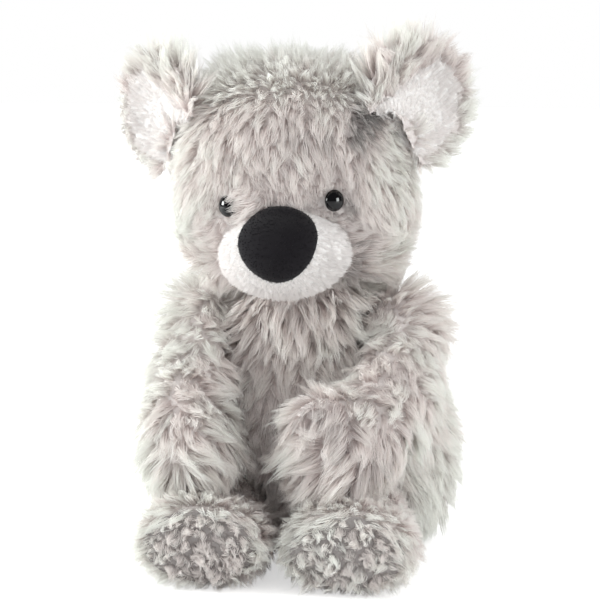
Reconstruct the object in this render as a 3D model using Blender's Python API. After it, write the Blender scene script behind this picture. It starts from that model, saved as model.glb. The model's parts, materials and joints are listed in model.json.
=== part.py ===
"""A seated plush koala, as sewn pieces round their stuffing.

Frame: metres, +Z up, the koala faces -Y and its own left side is +X. The origin is the centre of the
footprint on the surface that it sits on. Every stuffed piece is a pile-fabric skin with its filling as a
separate solid. The neck, shoulders, hips and ear seams are where the toy moves: the filled ends there are
balls in round seats, or wedges that meet on the seam line.
"""
import math

import bmesh
import bpy
from mathutils import Matrix, Vector

MM = 0.001

# Fabric and fits
PILE_THICKNESS = 9.0 * MM  # long-pile fabric, backing and lying pile together
SHORT_PILE_THICKNESS = 4.5 * MM  # muzzle and ear lining
FIT_GAP = 0.3 * MM  # between pieces that touch
FILLING_GAP = 0.6 * MM  # between a skin and its stuffing
TURN_GAP = 0.7 * MM  # between the head and an ear that flexes on it
SEAT_GAP = 1.4 * MM  # between the ball of a limb and its seat
NECK_GAP = 0.95 * MM  # between the collar and the head's cup
OVERRUN = 12.0 * MM  # how far every cutter passes what it cuts

# Torso
TORSO_HEIGHT = 153.0 * MM
TORSO_WIDTH = 180.0 * MM
TORSO_FRONT = 54.0 * MM  # from the torso's own middle to the belly
TORSO_BACK = 60.0 * MM
TORSO_SET_BACK = 13.0 * MM  # the torso's middle lies this far behind the neck
# Height, width, depth and set-back of the torso, bottom to top
TORSO_SHARES = (
    (0.00, 0.64, 0.66, 1.00),
    (0.05, 0.81, 0.83, 1.00),
    (0.17, 0.95, 0.95, 1.00),
    (0.38, 1.00, 1.00, 1.00),
    (0.60, 0.91, 0.93, 0.85),
    (0.80, 0.72, 0.76, 0.50),
    (0.93, 0.50, 0.56, 0.15),
    (1.00, 0.34, 0.46, 0.00),
)

# Neck: a firm plug of stuffing in a round collar, with the head cupped over both
NECK_HEIGHT = 143.0 * MM  # of the point that the head turns and nods about
NECK_BALL_RADIUS = 37.0 * MM
NECK_HOLE_RADIUS = 22.0 * MM
NECK_PLUG_DEPTH = 34.0 * MM  # below the turning point

# Head
HEAD_HEIGHT = 130.0 * MM
HEAD_WIDTH = 142.0 * MM
HEAD_FRONT = 57.0 * MM
HEAD_BACK = 61.0 * MM
HEAD_ABOVE_NECK = 9.0 * MM  # lowest point of the head over the turning point
HEAD_TILT_DEG = 4.0  # towards the koala's own right
HEAD_SHARES = (
    (0.00, 0.46, 0.48, 0.0),
    (0.06, 0.72, 0.70, 0.0),
    (0.17, 0.92, 0.88, 0.0),
    (0.32, 1.00, 0.97, 0.0),
    (0.48, 0.99, 1.00, 0.0),
    (0.64, 0.92, 0.97, 0.0),
    (0.79, 0.79, 0.86, 0.0),
    (0.90, 0.60, 0.66, 0.0),
    (0.97, 0.34, 0.38, 0.0),
    (1.00, 0.00, 0.00, 0.0),
)

# Muzzle and nose
MUZZLE_WIDTH = 75.0 * MM
MUZZLE_TALL = 52.0 * MM
MUZZLE_DEEP = 54.0 * MM
MUZZLE_OUT = 46.0 * MM  # muzzle's middle in front of the neck
MUZZLE_UP = 34.0 * MM  # and above it
NOSE_WIDTH = 42.0 * MM
NOSE_TALL = 40.0 * MM
NOSE_DEEP = 18.0 * MM
NOSE_OUT = 65.0 * MM
NOSE_UP = 42.0 * MM
NOSE_TILT_DEG = 14.0  # its top leans back
NOSE_TAPER_SHARE = 0.14  # how much wider it is at its top than at its middle

# Safety eyes: a domed head on a ribbed stem, held by a washer inside
EYE_RADIUS = 6.0 * MM
EYE_DOME = 4.0 * MM
EYE_SPREAD = 31.5 * MM  # from the middle line
EYE_UP = 62.0 * MM  # above the neck
EYE_TURN_DEG = 40.0  # outwards from straight ahead
EYE_SEAT_DEPTH = 3.0 * MM  # how deep the eye's back sits in the pile
STEM_RADIUS = 2.0 * MM
STEM_RIB = 0.5 * MM
STEM_RIB_COUNT = 2
STEM_LENGTH = 11.5 * MM
WASHER_RADIUS = 6.0 * MM
WASHER_THICKNESS = 1.6 * MM

# Ears
EAR_WIDTH = 74.0 * MM
EAR_TALL = 77.0 * MM
EAR_CUP = 13.0 * MM  # how far the rim stands in front of the middle
EAR_BACK_THICKNESS = 9.0 * MM
EAR_SPREAD = 68.0 * MM  # ear's middle from the middle line
EAR_UP = 112.0 * MM  # and above the neck
EAR_OUT = 4.0 * MM  # in front of the neck
EAR_TURN_DEG = 40.0  # the lining faces this far outwards
EAR_LEAN_DEG = 32.0  # the ear's long axis leans outwards from upright
EAR_FLEX_DEG = 15.0
EAR_RIM_SHARE = 0.35  # of the sheet's thickness, left at its rim
EAR_BASE_SHARE = 0.55  # of the ear's half height, how far down the seam line lies
LINING_SHARE = 0.80  # of the ear's width and height
LINING_SINK = 3.0 * MM  # how deep the lining's back lies in the ear

# Arms
SHOULDER_RADIUS = 26.0 * MM
SHOULDER_SPREAD = 55.0 * MM
SHOULDER_SET_BACK = 0.0 * MM
SHOULDER_HEIGHT = 127.0 * MM
ELBOW_SPREAD = 57.0 * MM
ELBOW_OUT = 41.0 * MM  # in front of the neck
ELBOW_HEIGHT = 97.0 * MM
ELBOW_RADIUS = 27.0 * MM
PAW_SPREAD = 40.0 * MM
PAW_SHIFT = 12.0 * MM  # both paws lie this far towards the koala's own right
PAW_OUT = 66.0 * MM
PAW_HEIGHT = 76.5 * MM
PAW_RADIUS = 27.0 * MM
SLEEVE_MOUTH_RADIUS = 11.0 * MM
LIMB_NECK_RADIUS = 6.0 * MM  # of the stuffing's way from a limb into its ball
ARM_AXIS_SHARES = (0.80, 0.60)  # how much the swing axis runs across and fore-and-aft
ARM_SWING_DEG = 45.0

# Legs
HIP_RADIUS = 24.0 * MM
HIP_HEIGHT = 28.0 * MM
HIP_SPREAD = 40.0 * MM
HIP_OUT = 31.0 * MM
THIGH_WIDTH = 58.0 * MM
FOOT_WIDTH = 76.0 * MM
FOOT_TALL = 51.0 * MM
TOE_OUT = 108.0 * MM  # toe in front of the neck
SOLE_THICKNESS = 9.0 * MM
LEG_SPLAY_DEG = 15.0
# Along the leg from hip to toe: place, width between thigh and foot, height
LEG_SHARES = (
    (0.30, 0.30, 0.88),
    (0.65, 0.80, 0.92),
    (1.00, 1.00, 1.00),
)
TOE_ROUND_SHARE = 0.62  # of the foot's half height, how far its blunt end reaches

# Weighted bag in the seat
BAG_WIDTH = 96.0 * MM
BAG_DEEP = 54.0 * MM
BAG_TALL = 52.0 * MM
BAG_SET_BACK = 30.0 * MM  # its middle, behind the neck
BAG_HEIGHT = 30.0 * MM  # of its middle
BAG_WALL = 1.2 * MM
BAG_MOUTH_RADIUS = 7.0 * MM

# Fineness of the surfaces
TORSO_SIDES = 20
HEAD_SIDES = 20
LIMB_SIDES = 16
LIMB_INNER_SIDES = 10
BALL_SIDES = 20
INNER_SIDES = 13
SMALL_SIDES = 12
STEPS_PER_SHARE = 2
END_RINGS = 4
PATH_RINGS = 5
SHARP_EDGE_DEG = 50.0


def shares_between(rows, steps):
    """The rows of shares with further rows between them, on a smooth curve through them all."""
    points = [Vector(row) for row in rows]
    ends = [points[0]] + points + [points[-1]]
    found = []
    for before, start, end, after in zip(ends, ends[1:], ends[2:], ends[3:]):
        for step in range(steps):
            t = step / steps
            bend = 2 * before - 5 * start + 4 * end - after
            twist = 3 * (start - end) + after - before
            found.append(start + ((end - before) * t + bend * t**2 + twist * t**3) / 2)
    return found + [points[-1]]


def solid_through(name, rings, material):
    """A closed solid through rings of points. A ring of one point is a pole."""
    bm = bmesh.new()
    loops = [[bm.verts.new(point) for point in ring] for ring in rings]
    for low, high in zip(loops, loops[1:]):
        count = max(len(low), len(high))
        for i in range(count):
            j = (i + 1) % count
            if len(low) == 1:
                bm.faces.new((low[0], high[j], high[i]))
            elif len(high) == 1:
                bm.faces.new((low[i], low[j], high[0]))
            else:
                bm.faces.new((low[i], low[j], high[j], high[i]))
    for end in (loops[0], loops[-1]):
        if len(end) > 1:
            bm.faces.new(end)
    bmesh.ops.recalc_face_normals(bm, faces=bm.faces)
    # Like forms inside each other are split along the same diagonals, so that they never cross.
    bmesh.ops.triangulate(bm, faces=bm.faces, quad_method="FIXED")
    mesh = bpy.data.meshes.new(name)
    bm.to_mesh(mesh)
    bm.free()
    mesh.shade_smooth()
    mesh.set_sharp_from_angle(angle=math.radians(SHARP_EDGE_DEG))
    if material:
        mesh.materials.append(material)
    made = bpy.data.objects.new(name, mesh)
    bpy.context.scene.collection.objects.link(made)
    return made


def as_cutter(obj):
    obj.hide_render = True
    obj.display_type = "WIRE"
    return obj


def combine(target, other, operation):
    modifier = target.modifiers.new(f"{operation}_{other.name}", "BOOLEAN")
    modifier.operation = operation
    modifier.object = as_cutter(other)
    modifier.solver = "EXACT"
    return target


def cut(target, *cutters):
    for cutter in cutters:
        combine(target, cutter, "DIFFERENCE")
    return target


def empty_at(name, place, parent=None):
    made = bpy.data.objects.new(name, None)
    made.location = place
    made.parent = parent
    bpy.context.scene.collection.objects.link(made)
    return made


def made_on(parent, maker, *arguments):
    """Runs a maker and hangs everything that it made, cutters too, on the parent."""
    before = list(bpy.data.objects)
    pieces = maker(*arguments)
    for obj in bpy.data.objects:
        if obj not in before and obj.parent is None:
            obj.parent = parent
    return pieces


def hang_on_pivot(name, place, parent, pieces):
    """Puts an empty on a joint's axis and gives the pieces that turn there their origins on it."""
    pivot = empty_at(name, place, parent)
    for piece in pieces:
        piece.data.transform(Matrix.Translation(-place))
        piece.parent = pivot
    return pieces


def frame_rings(path, tangents):
    """For each point of a path, two directions across it that don't twist."""
    side = Vector((1, 0, 0))
    frames = []
    for tangent in tangents:
        side = (side - side.dot(tangent) * tangent).normalized()
        frames.append((side, tangent.cross(side).normalized()))
    return frames


def ball(name, centre, radius, sides=BALL_SIDES, axis=Vector((0, 0, 1)), material=None):
    """A round ball whose poles lie on the axis."""
    turn = Vector((0, 0, 1)).rotation_difference(axis).to_matrix()
    rings = []
    steps = sides // 2
    for i in range(steps + 1):
        height = -math.cos(math.pi * i / steps)
        reach = math.sin(math.pi * i / steps)
        count = 1 if i in (0, steps) else sides
        turns = [2 * math.pi * k / sides for k in range(count)]
        ring = [Vector((math.cos(a) * reach, math.sin(a) * reach, height)) for a in turns]
        rings.append([centre + turn @ (radius * p) for p in ring])
    return solid_through(name, rings, material)


def rod(name, start, end, radius, sides=SMALL_SIDES, material=None):
    """A round bar between two points."""
    along = (end - start).normalized()
    turn = Vector((0, 0, 1)).rotation_difference(along).to_matrix()
    circle = [2 * math.pi * k / sides for k in range(sides)]
    across = [turn @ Vector((math.cos(a), math.sin(a), 0)) * radius for a in circle]
    return solid_through(name, [[p + c for c in across] for p in (start, end)], material)


def sides_of(outer_sides, inset):
    """Fewer sides for what lies inside a skin, whose faces are this far from the outer form."""
    return INNER_SIDES if abs(inset) > FIT_GAP + TURN_GAP else outer_sides


def stacked(name, rows, size, base, inset, sides, material):
    """A solid of level rings. size is height, half width, front, back and set-back."""
    height, half_width, front, back, set_back = size
    steps = STEPS_PER_SHARE if sides_of(sides, inset) == sides else 1
    sides = sides_of(sides, inset)
    rings = []
    for share, wide, deep, behind in shares_between(rows, steps):
        level = base.z + inset + share * (height - 2 * inset)
        middle = Vector((base.x, base.y + set_back * behind, level))
        across = wide * half_width - inset
        if wide == 0 or across <= 0:
            rings.append([middle])
            continue
        ring = []
        for k in range(sides):
            angle = 2 * math.pi * k / sides
            reach = deep * (front if math.sin(angle) < 0 else back) - inset
            ring.append(middle + Vector((across * math.cos(angle), reach * math.sin(angle), 0)))
        rings.append(ring)
    while len(rings[-1]) == 1 and len(rings[-2]) == 1:
        rings.pop()
    return solid_through(name, rings, material)


def tube_rings(path, widths, heights, inset, start_radius, end_reach, floor=None):
    """Rings round a path, with a round ball end at the start and a blunt round end at the last point."""
    tangents = [(b - a).normalized() for a, b in zip(path, path[1:])]
    tangents.append(tangents[-1])
    frames = frame_rings(path, tangents)
    sides, end_rings = (LIMB_SIDES, END_RINGS) if inset <= 0 else (LIMB_INNER_SIDES, END_RINGS - 1)
    stations = []
    reach = start_radius - inset
    for i in range(end_rings + 1):
        angle = math.pi / 2 * (1 - i / end_rings)
        place = path[0] - tangents[0] * reach * math.sin(angle)
        stations.append((place, frames[0], reach * math.cos(angle), reach * math.cos(angle)))
    for place, frame, width, height in list(zip(path, frames, widths, heights))[1:]:
        stations.append((place, frame, width - inset, height - inset))
    width, height = widths[-1] - inset, heights[-1] - inset
    for i in range(1, end_rings + 1):
        angle = math.pi / 2 * i / end_rings
        place = path[-1] + tangents[-1] * (end_reach - inset) * math.sin(angle)
        stations.append((place, frames[-1], width * math.cos(angle), height * math.cos(angle)))
    rings = [[stations[0][0]]]
    for place, (side, up), width, height in stations[1:-1]:
        ring = []
        for k in range(sides):
            angle = 2 * math.pi * k / sides
            point = place + side * width * math.cos(angle) + up * height * math.sin(angle)
            if floor is not None:
                point.z = max(point.z, floor + inset)
            ring.append(point)
        rings.append(ring)
    return rings + [[stations[-1][0]]]


def mirrored(point, side):
    return Vector((point.x * side, point.y, point.z))


def material_of(name, colour, roughness, metallic=0.0):
    made = bpy.data.materials.new(name)
    made.use_nodes = True
    shader = made.node_tree.nodes["Principled BSDF"]
    shader.inputs["Base Color"].default_value = (*colour, 1)
    shader.inputs["Roughness"].default_value = roughness
    shader.inputs["Metallic"].default_value = metallic
    return made


NECK = Vector((0, 0, NECK_HEIGHT))
FORWARDS = Vector((0, -1, 0))


def shoulder_of(side):
    return Vector((side * SHOULDER_SPREAD, SHOULDER_SET_BACK, SHOULDER_HEIGHT))


def hip_of(side):
    return Vector((side * HIP_SPREAD, -HIP_OUT, HIP_HEIGHT))


# How far a limb's skin, its cavity and its stuffing stay from the torso
TRIM_LIFTS = (FIT_GAP, PILE_THICKNESS, PILE_THICKNESS + FILLING_GAP)


def torso_body(name, inset, material=None):
    """The torso alone, taken in all round by inset."""
    size = (TORSO_HEIGHT, TORSO_WIDTH / 2, TORSO_FRONT, TORSO_BACK, TORSO_SET_BACK)
    return stacked(name, TORSO_SHARES, size, Vector(), inset, TORSO_SIDES, material)


def seat_of(name, centre, radius, inset):
    """The round seat in the torso that a ball of that radius turns in."""
    return ball(name, centre, radius + SEAT_GAP + inset, sides_of(BALL_SIDES, inset))


def torso_form(name, inset, material=None):
    """The torso with its collar and the seats of the arms and legs, taken in all round by inset."""
    made = torso_body(name, inset, material)
    sides = sides_of(BALL_SIDES, inset)
    combine(made, ball(f"{name}_collar", NECK, NECK_BALL_RADIUS - inset, sides), "UNION")
    for side in (1, -1):
        cut(made, seat_of(f"{name}_shoulder_{side}", shoulder_of(side), SHOULDER_RADIUS, inset))
        cut(made, seat_of(f"{name}_hip_{side}", hip_of(side), HIP_RADIUS, inset))
    return made


def limb_trim(name, joint, radius, along, move, lift):
    """The torso, lifted outwards, where it bounds a limb at rest and moved, less the limb's own seat."""
    trim = torso_body(name, -lift)
    moved = torso_body(f"{name}_moved", -lift)
    moved.data.transform(Matrix.Translation(joint) @ move @ Matrix.Translation(-joint))
    combine(trim, moved, "UNION")
    room = radius + SEAT_GAP / 2 + FIT_GAP - lift
    cut(trim, ball(f"{name}_seat", joint, room, sides_of(BALL_SIDES, lift)))
    if lift > FIT_GAP:
        neck_radius = LIMB_NECK_RADIUS + PILE_THICKNESS - lift
        cut(trim, rod(f"{name}_neck", joint, joint + radius * along.normalized(), neck_radius))
    return trim


def bag_form(name, inset, material=None):
    """The weighted bag, a flattened ball that has settled on the seat's inner face."""
    made = ball(name, Vector(), 1.0, sides=INNER_SIDES, material=material)
    half = Vector((BAG_WIDTH / 2 - inset, BAG_DEEP / 2 - inset, BAG_TALL / 2 - inset))
    place = Vector((0, BAG_SET_BACK, BAG_HEIGHT))
    made.data.transform(Matrix.Translation(place) @ Matrix.Diagonal((*half, 1)))
    for vertex in made.data.vertices:
        vertex.co.z = max(vertex.co.z, PILE_THICKNESS + FIT_GAP + inset)
    return made


def make_torso(fur, fill, cloth, pellets):
    skin = torso_form("torso_skin", 0.0, fur)
    cut(skin, torso_form("torso_cavity", PILE_THICKNESS))
    top = NECK + Vector((0, 0, NECK_BALL_RADIUS + OVERRUN))
    low = NECK - Vector((0, 0, NECK_PLUG_DEPTH))
    hole = rod("torso_neck_hole", low, top, NECK_HOLE_RADIUS, BALL_SIDES)
    cut(skin, hole)
    stuffing = torso_form("torso_stuffing", PILE_THICKNESS + FILLING_GAP, fill)
    pocket = rod("plug_pocket", low, top, NECK_HOLE_RADIUS, BALL_SIDES)
    cut(stuffing, pocket, bag_form("bag_pocket", -FIT_GAP))
    bag = cut(bag_form("pellet_bag", 0.0, cloth), bag_form("bag_inside", BAG_WALL))
    middle = Vector((0, BAG_SET_BACK, BAG_HEIGHT))
    mouth_end = middle + Vector((0, 0, BAG_TALL))
    cut(bag, rod("bag_mouth", middle, mouth_end, BAG_MOUTH_RADIUS))
    filling = bag_form("pellet_fill", BAG_WALL + FIT_GAP, pellets)
    return [skin, stuffing, bag, filling]


def make_neck(fill):
    """The firm plug: a round bar whose top is part of the collar's ball."""
    radius = NECK_HOLE_RADIUS - TURN_GAP
    low = NECK - Vector((0, 0, NECK_PLUG_DEPTH - FIT_GAP))
    top = NECK + Vector((0, 0, NECK_BALL_RADIUS + OVERRUN))
    plug = rod("neck_stuffing", low, top, radius, BALL_SIDES, fill)
    return [combine(plug, ball("plug_top", NECK, NECK_BALL_RADIUS), "INTERSECT")]


def head_body(name, inset, material=None):
    """The head alone, taken in all round by inset."""
    size = (HEAD_HEIGHT, HEAD_WIDTH / 2, HEAD_FRONT, HEAD_BACK, 0.0)
    base = Vector((0, 0, HEAD_ABOVE_NECK))
    return stacked(name, HEAD_SHARES, size, base, inset, HEAD_SIDES, material)


def head_form(name, inset, material=None):
    """The head with the cup that sits over the collar, taken in all round by inset."""
    made = head_body(name, inset, material)
    cup = NECK_BALL_RADIUS + NECK_GAP + inset
    return cut(made, ball(f"{name}_cup", Vector(), cup, sides_of(BALL_SIDES, inset)))


def muzzle_form(name, inset, material=None):
    sides = sides_of(HEAD_SIDES, inset)
    made = ball(name, Vector(), 1.0, sides=sides, axis=Vector((0, 1, 0)), material=material)
    sizes = (MUZZLE_WIDTH, MUZZLE_DEEP, MUZZLE_TALL)
    half = Vector([size / 2 - inset for size in sizes])
    place = Vector((0, -MUZZLE_OUT, MUZZLE_UP))
    made.data.transform(Matrix.Translation(place) @ Matrix.Diagonal((*half, 1)))
    return made


def eye_frame(side):
    """Where an eye's back sits in the pile, with the local Z axis pointing out of the head."""
    turn = math.radians(EYE_TURN_DEG)
    out = Vector((side * math.sin(turn), -math.cos(turn), 0))
    level = (EYE_UP - HEAD_ABOVE_NECK) / HEAD_HEIGHT
    rows = shares_between(HEAD_SHARES, STEPS_PER_SHARE * STEPS_PER_SHARE)
    wide, deep = min(rows, key=lambda row: abs(row[0] - level))[1:3]
    across = EYE_SPREAD / (wide * HEAD_WIDTH / 2)
    surface = Vector((side * EYE_SPREAD, -deep * HEAD_FRONT * math.sqrt(1 - across**2), EYE_UP))
    place = surface - out * EYE_SEAT_DEPTH
    return Matrix.Translation(place) @ out.to_track_quat("Z", "Y").to_matrix().to_4x4()


def turned(name, profile, sides, material=None):
    """A solid turned round local Z from (radius, height) points that start and end on the axis."""
    rings = []
    for radius, height in profile:
        count = 1 if radius == 0 else sides
        turns = [2 * math.pi * k / sides for k in range(count)]
        rings.append([Vector((radius * math.cos(a), radius * math.sin(a), height)) for a in turns])
    return solid_through(name, rings, material)


def eye_profile():
    """The eye from the end of its stem to the top of its dome."""
    profile = [(0, -STEM_LENGTH), (STEM_RADIUS, -STEM_LENGTH)]
    pitch = STEM_LENGTH / (2 * STEM_RIB_COUNT + 1)
    for k in range(STEM_RIB_COUNT):
        low = -STEM_LENGTH + (2 * k + 1) * pitch
        profile += [(STEM_RADIUS, low), (STEM_RADIUS + STEM_RIB, low + pitch / 2)]
        profile += [(STEM_RADIUS, low + pitch)]
    profile += [(STEM_RADIUS, 0), (EYE_RADIUS, 0)]
    for k in range(1, END_RINGS):
        angle = math.pi / 2 * k / END_RINGS
        profile.append((EYE_RADIUS * math.cos(angle), EYE_DOME * math.sin(angle)))
    return profile + [(0, EYE_DOME)]


def make_eye(side, word, plastic, washer_plastic):
    place = eye_frame(side)
    eye = turned(f"eye_{word}", eye_profile(), SMALL_SIDES, plastic)
    eye.data.transform(place)
    # The washer grips the stem on the inner face of the pile fabric.
    inner = -(PILE_THICKNESS - EYE_SEAT_DEPTH) - FIT_GAP
    bore = STEM_RADIUS + STEM_RIB + FIT_GAP
    profile = [(bore, inner), (WASHER_RADIUS, inner)]
    profile += [(WASHER_RADIUS, inner - WASHER_THICKNESS), (bore, inner - WASHER_THICKNESS)]
    rings = []
    for radius, height in profile:
        turns = [2 * math.pi * k / SMALL_SIDES for k in range(SMALL_SIDES)]
        rings.append([Vector((radius * math.cos(a), radius * math.sin(a), height)) for a in turns])
    washer = ring_solid(f"eye_washer_{word}", rings, washer_plastic)
    washer.data.transform(place)
    return eye, washer


def ring_solid(name, rings, material):
    """A solid through rings that closes on itself, such as a washer."""
    bm = bmesh.new()
    loops = [[bm.verts.new(point) for point in ring] for ring in rings]
    for low, high in zip(loops, loops[1:] + loops[:1]):
        for i in range(len(low)):
            j = (i + 1) % len(low)
            bm.faces.new((low[i], low[j], high[j], high[i]))
    bmesh.ops.recalc_face_normals(bm, faces=bm.faces)
    mesh = bpy.data.meshes.new(name)
    bm.to_mesh(mesh)
    bm.free()
    mesh.materials.append(material)
    made = bpy.data.objects.new(name, mesh)
    bpy.context.scene.collection.objects.link(made)
    return made


def eye_cutters(side, word):
    """The pit that the pile is parted to, the stem's hole, and the room for the washer inside."""
    place = eye_frame(side)
    hole_radius = STEM_RADIUS + STEM_RIB + FIT_GAP
    pit_radius = EYE_RADIUS + FIT_GAP
    pit = rod(f"eye_pit_{word}", Vector((0, 0, -FIT_GAP)), Vector((0, 0, OVERRUN)), pit_radius)
    deep = Vector((0, 0, -STEM_LENGTH - FIT_GAP))
    hole = rod(f"eye_hole_{word}", deep, Vector((0, 0, OVERRUN)), hole_radius)
    face = Vector((0, 0, EYE_SEAT_DEPTH - PILE_THICKNESS))
    room = rod(f"washer_room_{word}", deep, face, WASHER_RADIUS + FIT_GAP)
    for cutter in (pit, hole, room):
        cutter.data.transform(place)
    return pit, hole, room


def make_head(fur, white, fill, velour, plastic, washer_plastic):
    """The head's pieces, in a frame whose origin is the point that the head turns about."""
    skin = head_form("head_skin", 0.0, fur)
    cut(skin, head_form("head_cavity", PILE_THICKNESS), muzzle_form("muzzle_hole", -FIT_GAP))
    mouth_top = Vector((0, 0, NECK_BALL_RADIUS + PILE_THICKNESS + OVERRUN))
    cut(skin, rod("head_neck_hole", Vector(), mouth_top, NECK_HOLE_RADIUS, BALL_SIDES))

    stuffing = head_form("head_stuffing", PILE_THICKNESS + FILLING_GAP, fill)
    neck_fill = rod("neck_fill", Vector(), mouth_top, NECK_HOLE_RADIUS - FIT_GAP, BALL_SIDES)
    combine(stuffing, neck_fill, "UNION")
    muzzle_fill = muzzle_form("muzzle_fill", SHORT_PILE_THICKNESS + FILLING_GAP)
    combine(stuffing, muzzle_fill, "UNION")
    cut(stuffing, ball("stuffing_cup", Vector(), NECK_BALL_RADIUS + NECK_GAP))

    muzzle = muzzle_form("muzzle", 0.0, white)
    inside = muzzle_form("muzzle_inside", SHORT_PILE_THICKNESS)
    cut(muzzle, inside, head_body("muzzle_back", PILE_THICKNESS - FIT_GAP))
    cut(muzzle, ball("muzzle_cup", Vector(), NECK_BALL_RADIUS + NECK_GAP))

    nose = ball("nose", Vector(), 1.0, sides=BALL_SIDES, axis=Vector((0, 1, 0)), material=velour)
    for vertex in nose.data.vertices:
        vertex.co.x *= 1 + NOSE_TAPER_SHARE * vertex.co.z
    half = Vector((NOSE_WIDTH / 2, NOSE_DEEP / 2, NOSE_TALL / 2))
    lean = Matrix.Rotation(-math.radians(NOSE_TILT_DEG), 4, "X")
    place = Matrix.Translation(Vector((0, -NOSE_OUT, NOSE_UP)))
    nose.data.transform(place @ lean @ Matrix.Diagonal((*half, 1)))
    cut(nose, muzzle_form("nose_seat", -FIT_GAP), head_body("nose_brow", -FIT_GAP))

    pieces = [skin, stuffing, muzzle, nose]
    for side, word in ((1, "left"), (-1, "right")):
        pit, hole, room = eye_cutters(side, word)
        cut(skin, pit, hole, room)
        cut(stuffing, hole, room)
        pieces += make_eye(side, word, plastic, washer_plastic)
    return pieces


def ear_frame(side):
    """The ear's own frame: X across it, Y out of its back, Z along it away from the head."""
    place = Vector((side * EAR_SPREAD, -EAR_OUT, EAR_UP))
    lean = Matrix.Rotation(math.radians(side * EAR_LEAN_DEG), 4, "Y")
    face = Matrix.Rotation(math.radians(side * EAR_TURN_DEG), 4, "Z")
    return Matrix.Translation(place) @ face @ lean


def ear_sheet(name, share, front, back, rim_share, material=None):
    """A cupped oval sheet between two depths behind the cup's own face, with a rim of rim_share thickness."""
    half_width, half_tall = share * EAR_WIDTH / 2, share * EAR_TALL / 2
    middle, half_thick = (front + back) / 2, (back - front) / 2
    front_rings, back_rings = [], []
    for i in range(1, END_RINGS + 1):
        angle = math.pi / 2 * i / END_RINGS
        reach = math.sin(angle)
        depth = middle - EAR_CUP * (share * reach) ** 2
        thick = half_thick * (rim_share + (1 - rim_share) * math.cos(angle) ** 0.5)
        turns = [2 * math.pi * k / LIMB_SIDES for k in range(LIMB_SIDES)]
        oval = [(half_width * math.cos(a) * reach, half_tall * math.sin(a) * reach) for a in turns]
        front_rings.append([Vector((x, depth - thick, z)) for x, z in oval])
        back_rings.insert(0, [Vector((x, depth + thick, z)) for x, z in oval])
    rings = [[Vector((0, front, 0))]] + front_rings + back_rings + [[Vector((0, back, 0))]]
    return solid_through(name, rings, material)


def ear_hinge(side):
    """A point and a direction: the seam line along which the ear is sewn to the head."""
    frame = ear_frame(side)
    base = frame @ Vector((0, 0, -EAR_TALL / 2 * EAR_BASE_SHARE))
    return base, (frame.to_3x3() @ Vector((1, 0, 0))).normalized()


def make_ear(side, word, fur, white):
    """A furry back with a recessed short-pile lining, clear of the head however far the ear flexes."""
    back = ear_sheet(f"ear_back_{word}", 1.0, 0.0, EAR_BACK_THICKNESS, EAR_RIM_SHARE, fur)
    front = LINING_SINK - SHORT_PILE_THICKNESS
    lining = ear_sheet(f"ear_lining_{word}", LINING_SHARE, front, LINING_SINK, EAR_RIM_SHARE, white)
    room_share = LINING_SHARE + 2 * FIT_GAP / EAR_WIDTH
    room = ear_sheet(f"lining_room_{word}", room_share, front, LINING_SINK + FIT_GAP, 1.0)
    for piece in (back, lining, room):
        piece.data.transform(ear_frame(side))
    base, along = ear_hinge(side)
    trims = []
    for degrees in (-EAR_FLEX_DEG, EAR_FLEX_DEG):
        trim = head_body(f"ear_trim_{word}_{len(trims)}", -TURN_GAP)
        spin = Matrix.Rotation(math.radians(degrees), 4, along)
        trim.data.transform(Matrix.Translation(base) @ spin @ Matrix.Translation(-base))
        trims.append(trim)
    trim = combine(*trims, "UNION")
    cut(back, trim, room)
    cut(lining, trim)
    return [back, lining]


def arm_path(side):
    """Points along the arm's middle, from the shoulder round the belly to the paw."""
    elbow = Vector((ELBOW_SPREAD, -ELBOW_OUT, ELBOW_HEIGHT))
    paw = Vector((PAW_SPREAD - side * PAW_SHIFT, -PAW_OUT, PAW_HEIGHT))
    shoulder = shoulder_of(1)
    path = []
    for i in range(PATH_RINGS):
        t = i / (PATH_RINGS - 1)
        control = 2 * elbow - (shoulder + paw) / 2
        point = shoulder * (1 - t) ** 2 + control * 2 * t * (1 - t) + paw * t**2
        path.append(mirrored(point, side))
    return path


def arm_form(name, side, inset, material=None):
    path = arm_path(side)
    radii = []
    for i in range(PATH_RINGS):
        t = i / (PATH_RINGS - 1)
        first, second = (SHOULDER_RADIUS, ELBOW_RADIUS) if t < 0.5 else (ELBOW_RADIUS, PAW_RADIUS)
        radii.append(first + (second - first) * (2 * t % 1 if t < 1 else 1))
    rings = tube_rings(path, radii, radii, inset, SHOULDER_RADIUS, PAW_RADIUS)
    return solid_through(name, rings, material)


def swing_axis(side):
    """The axis that lifts the paw forwards and outwards from the lap."""
    across, along = ARM_AXIS_SHARES
    return Vector((-across, -along * side, 0)).normalized()


def make_arm(side, word, fur, fill):
    skin = arm_form(f"arm_skin_{word}", side, 0.0, fur)
    cavity = arm_form(f"arm_cavity_{word}", side, PILE_THICKNESS)
    stuffing = arm_form(f"arm_stuffing_{word}", side, PILE_THICKNESS + FILLING_GAP, fill)
    shoulder = shoulder_of(side)
    along = arm_path(side)[1] - shoulder
    swing = Matrix.Rotation(-math.radians(ARM_SWING_DEG), 4, swing_axis(side))
    for piece, lift in zip((skin, cavity, stuffing), TRIM_LIFTS):
        cut(piece, limb_trim(f"{piece.name}_trim", shoulder, SHOULDER_RADIUS, along, swing, lift))
    cut(skin, cavity)
    mouth_end = shoulder - Vector((side * (SHOULDER_RADIUS + OVERRUN), 0, 0))
    cut(skin, rod(f"sleeve_mouth_{word}", shoulder, mouth_end, SLEEVE_MOUTH_RADIUS))
    return [skin, stuffing]


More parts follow.
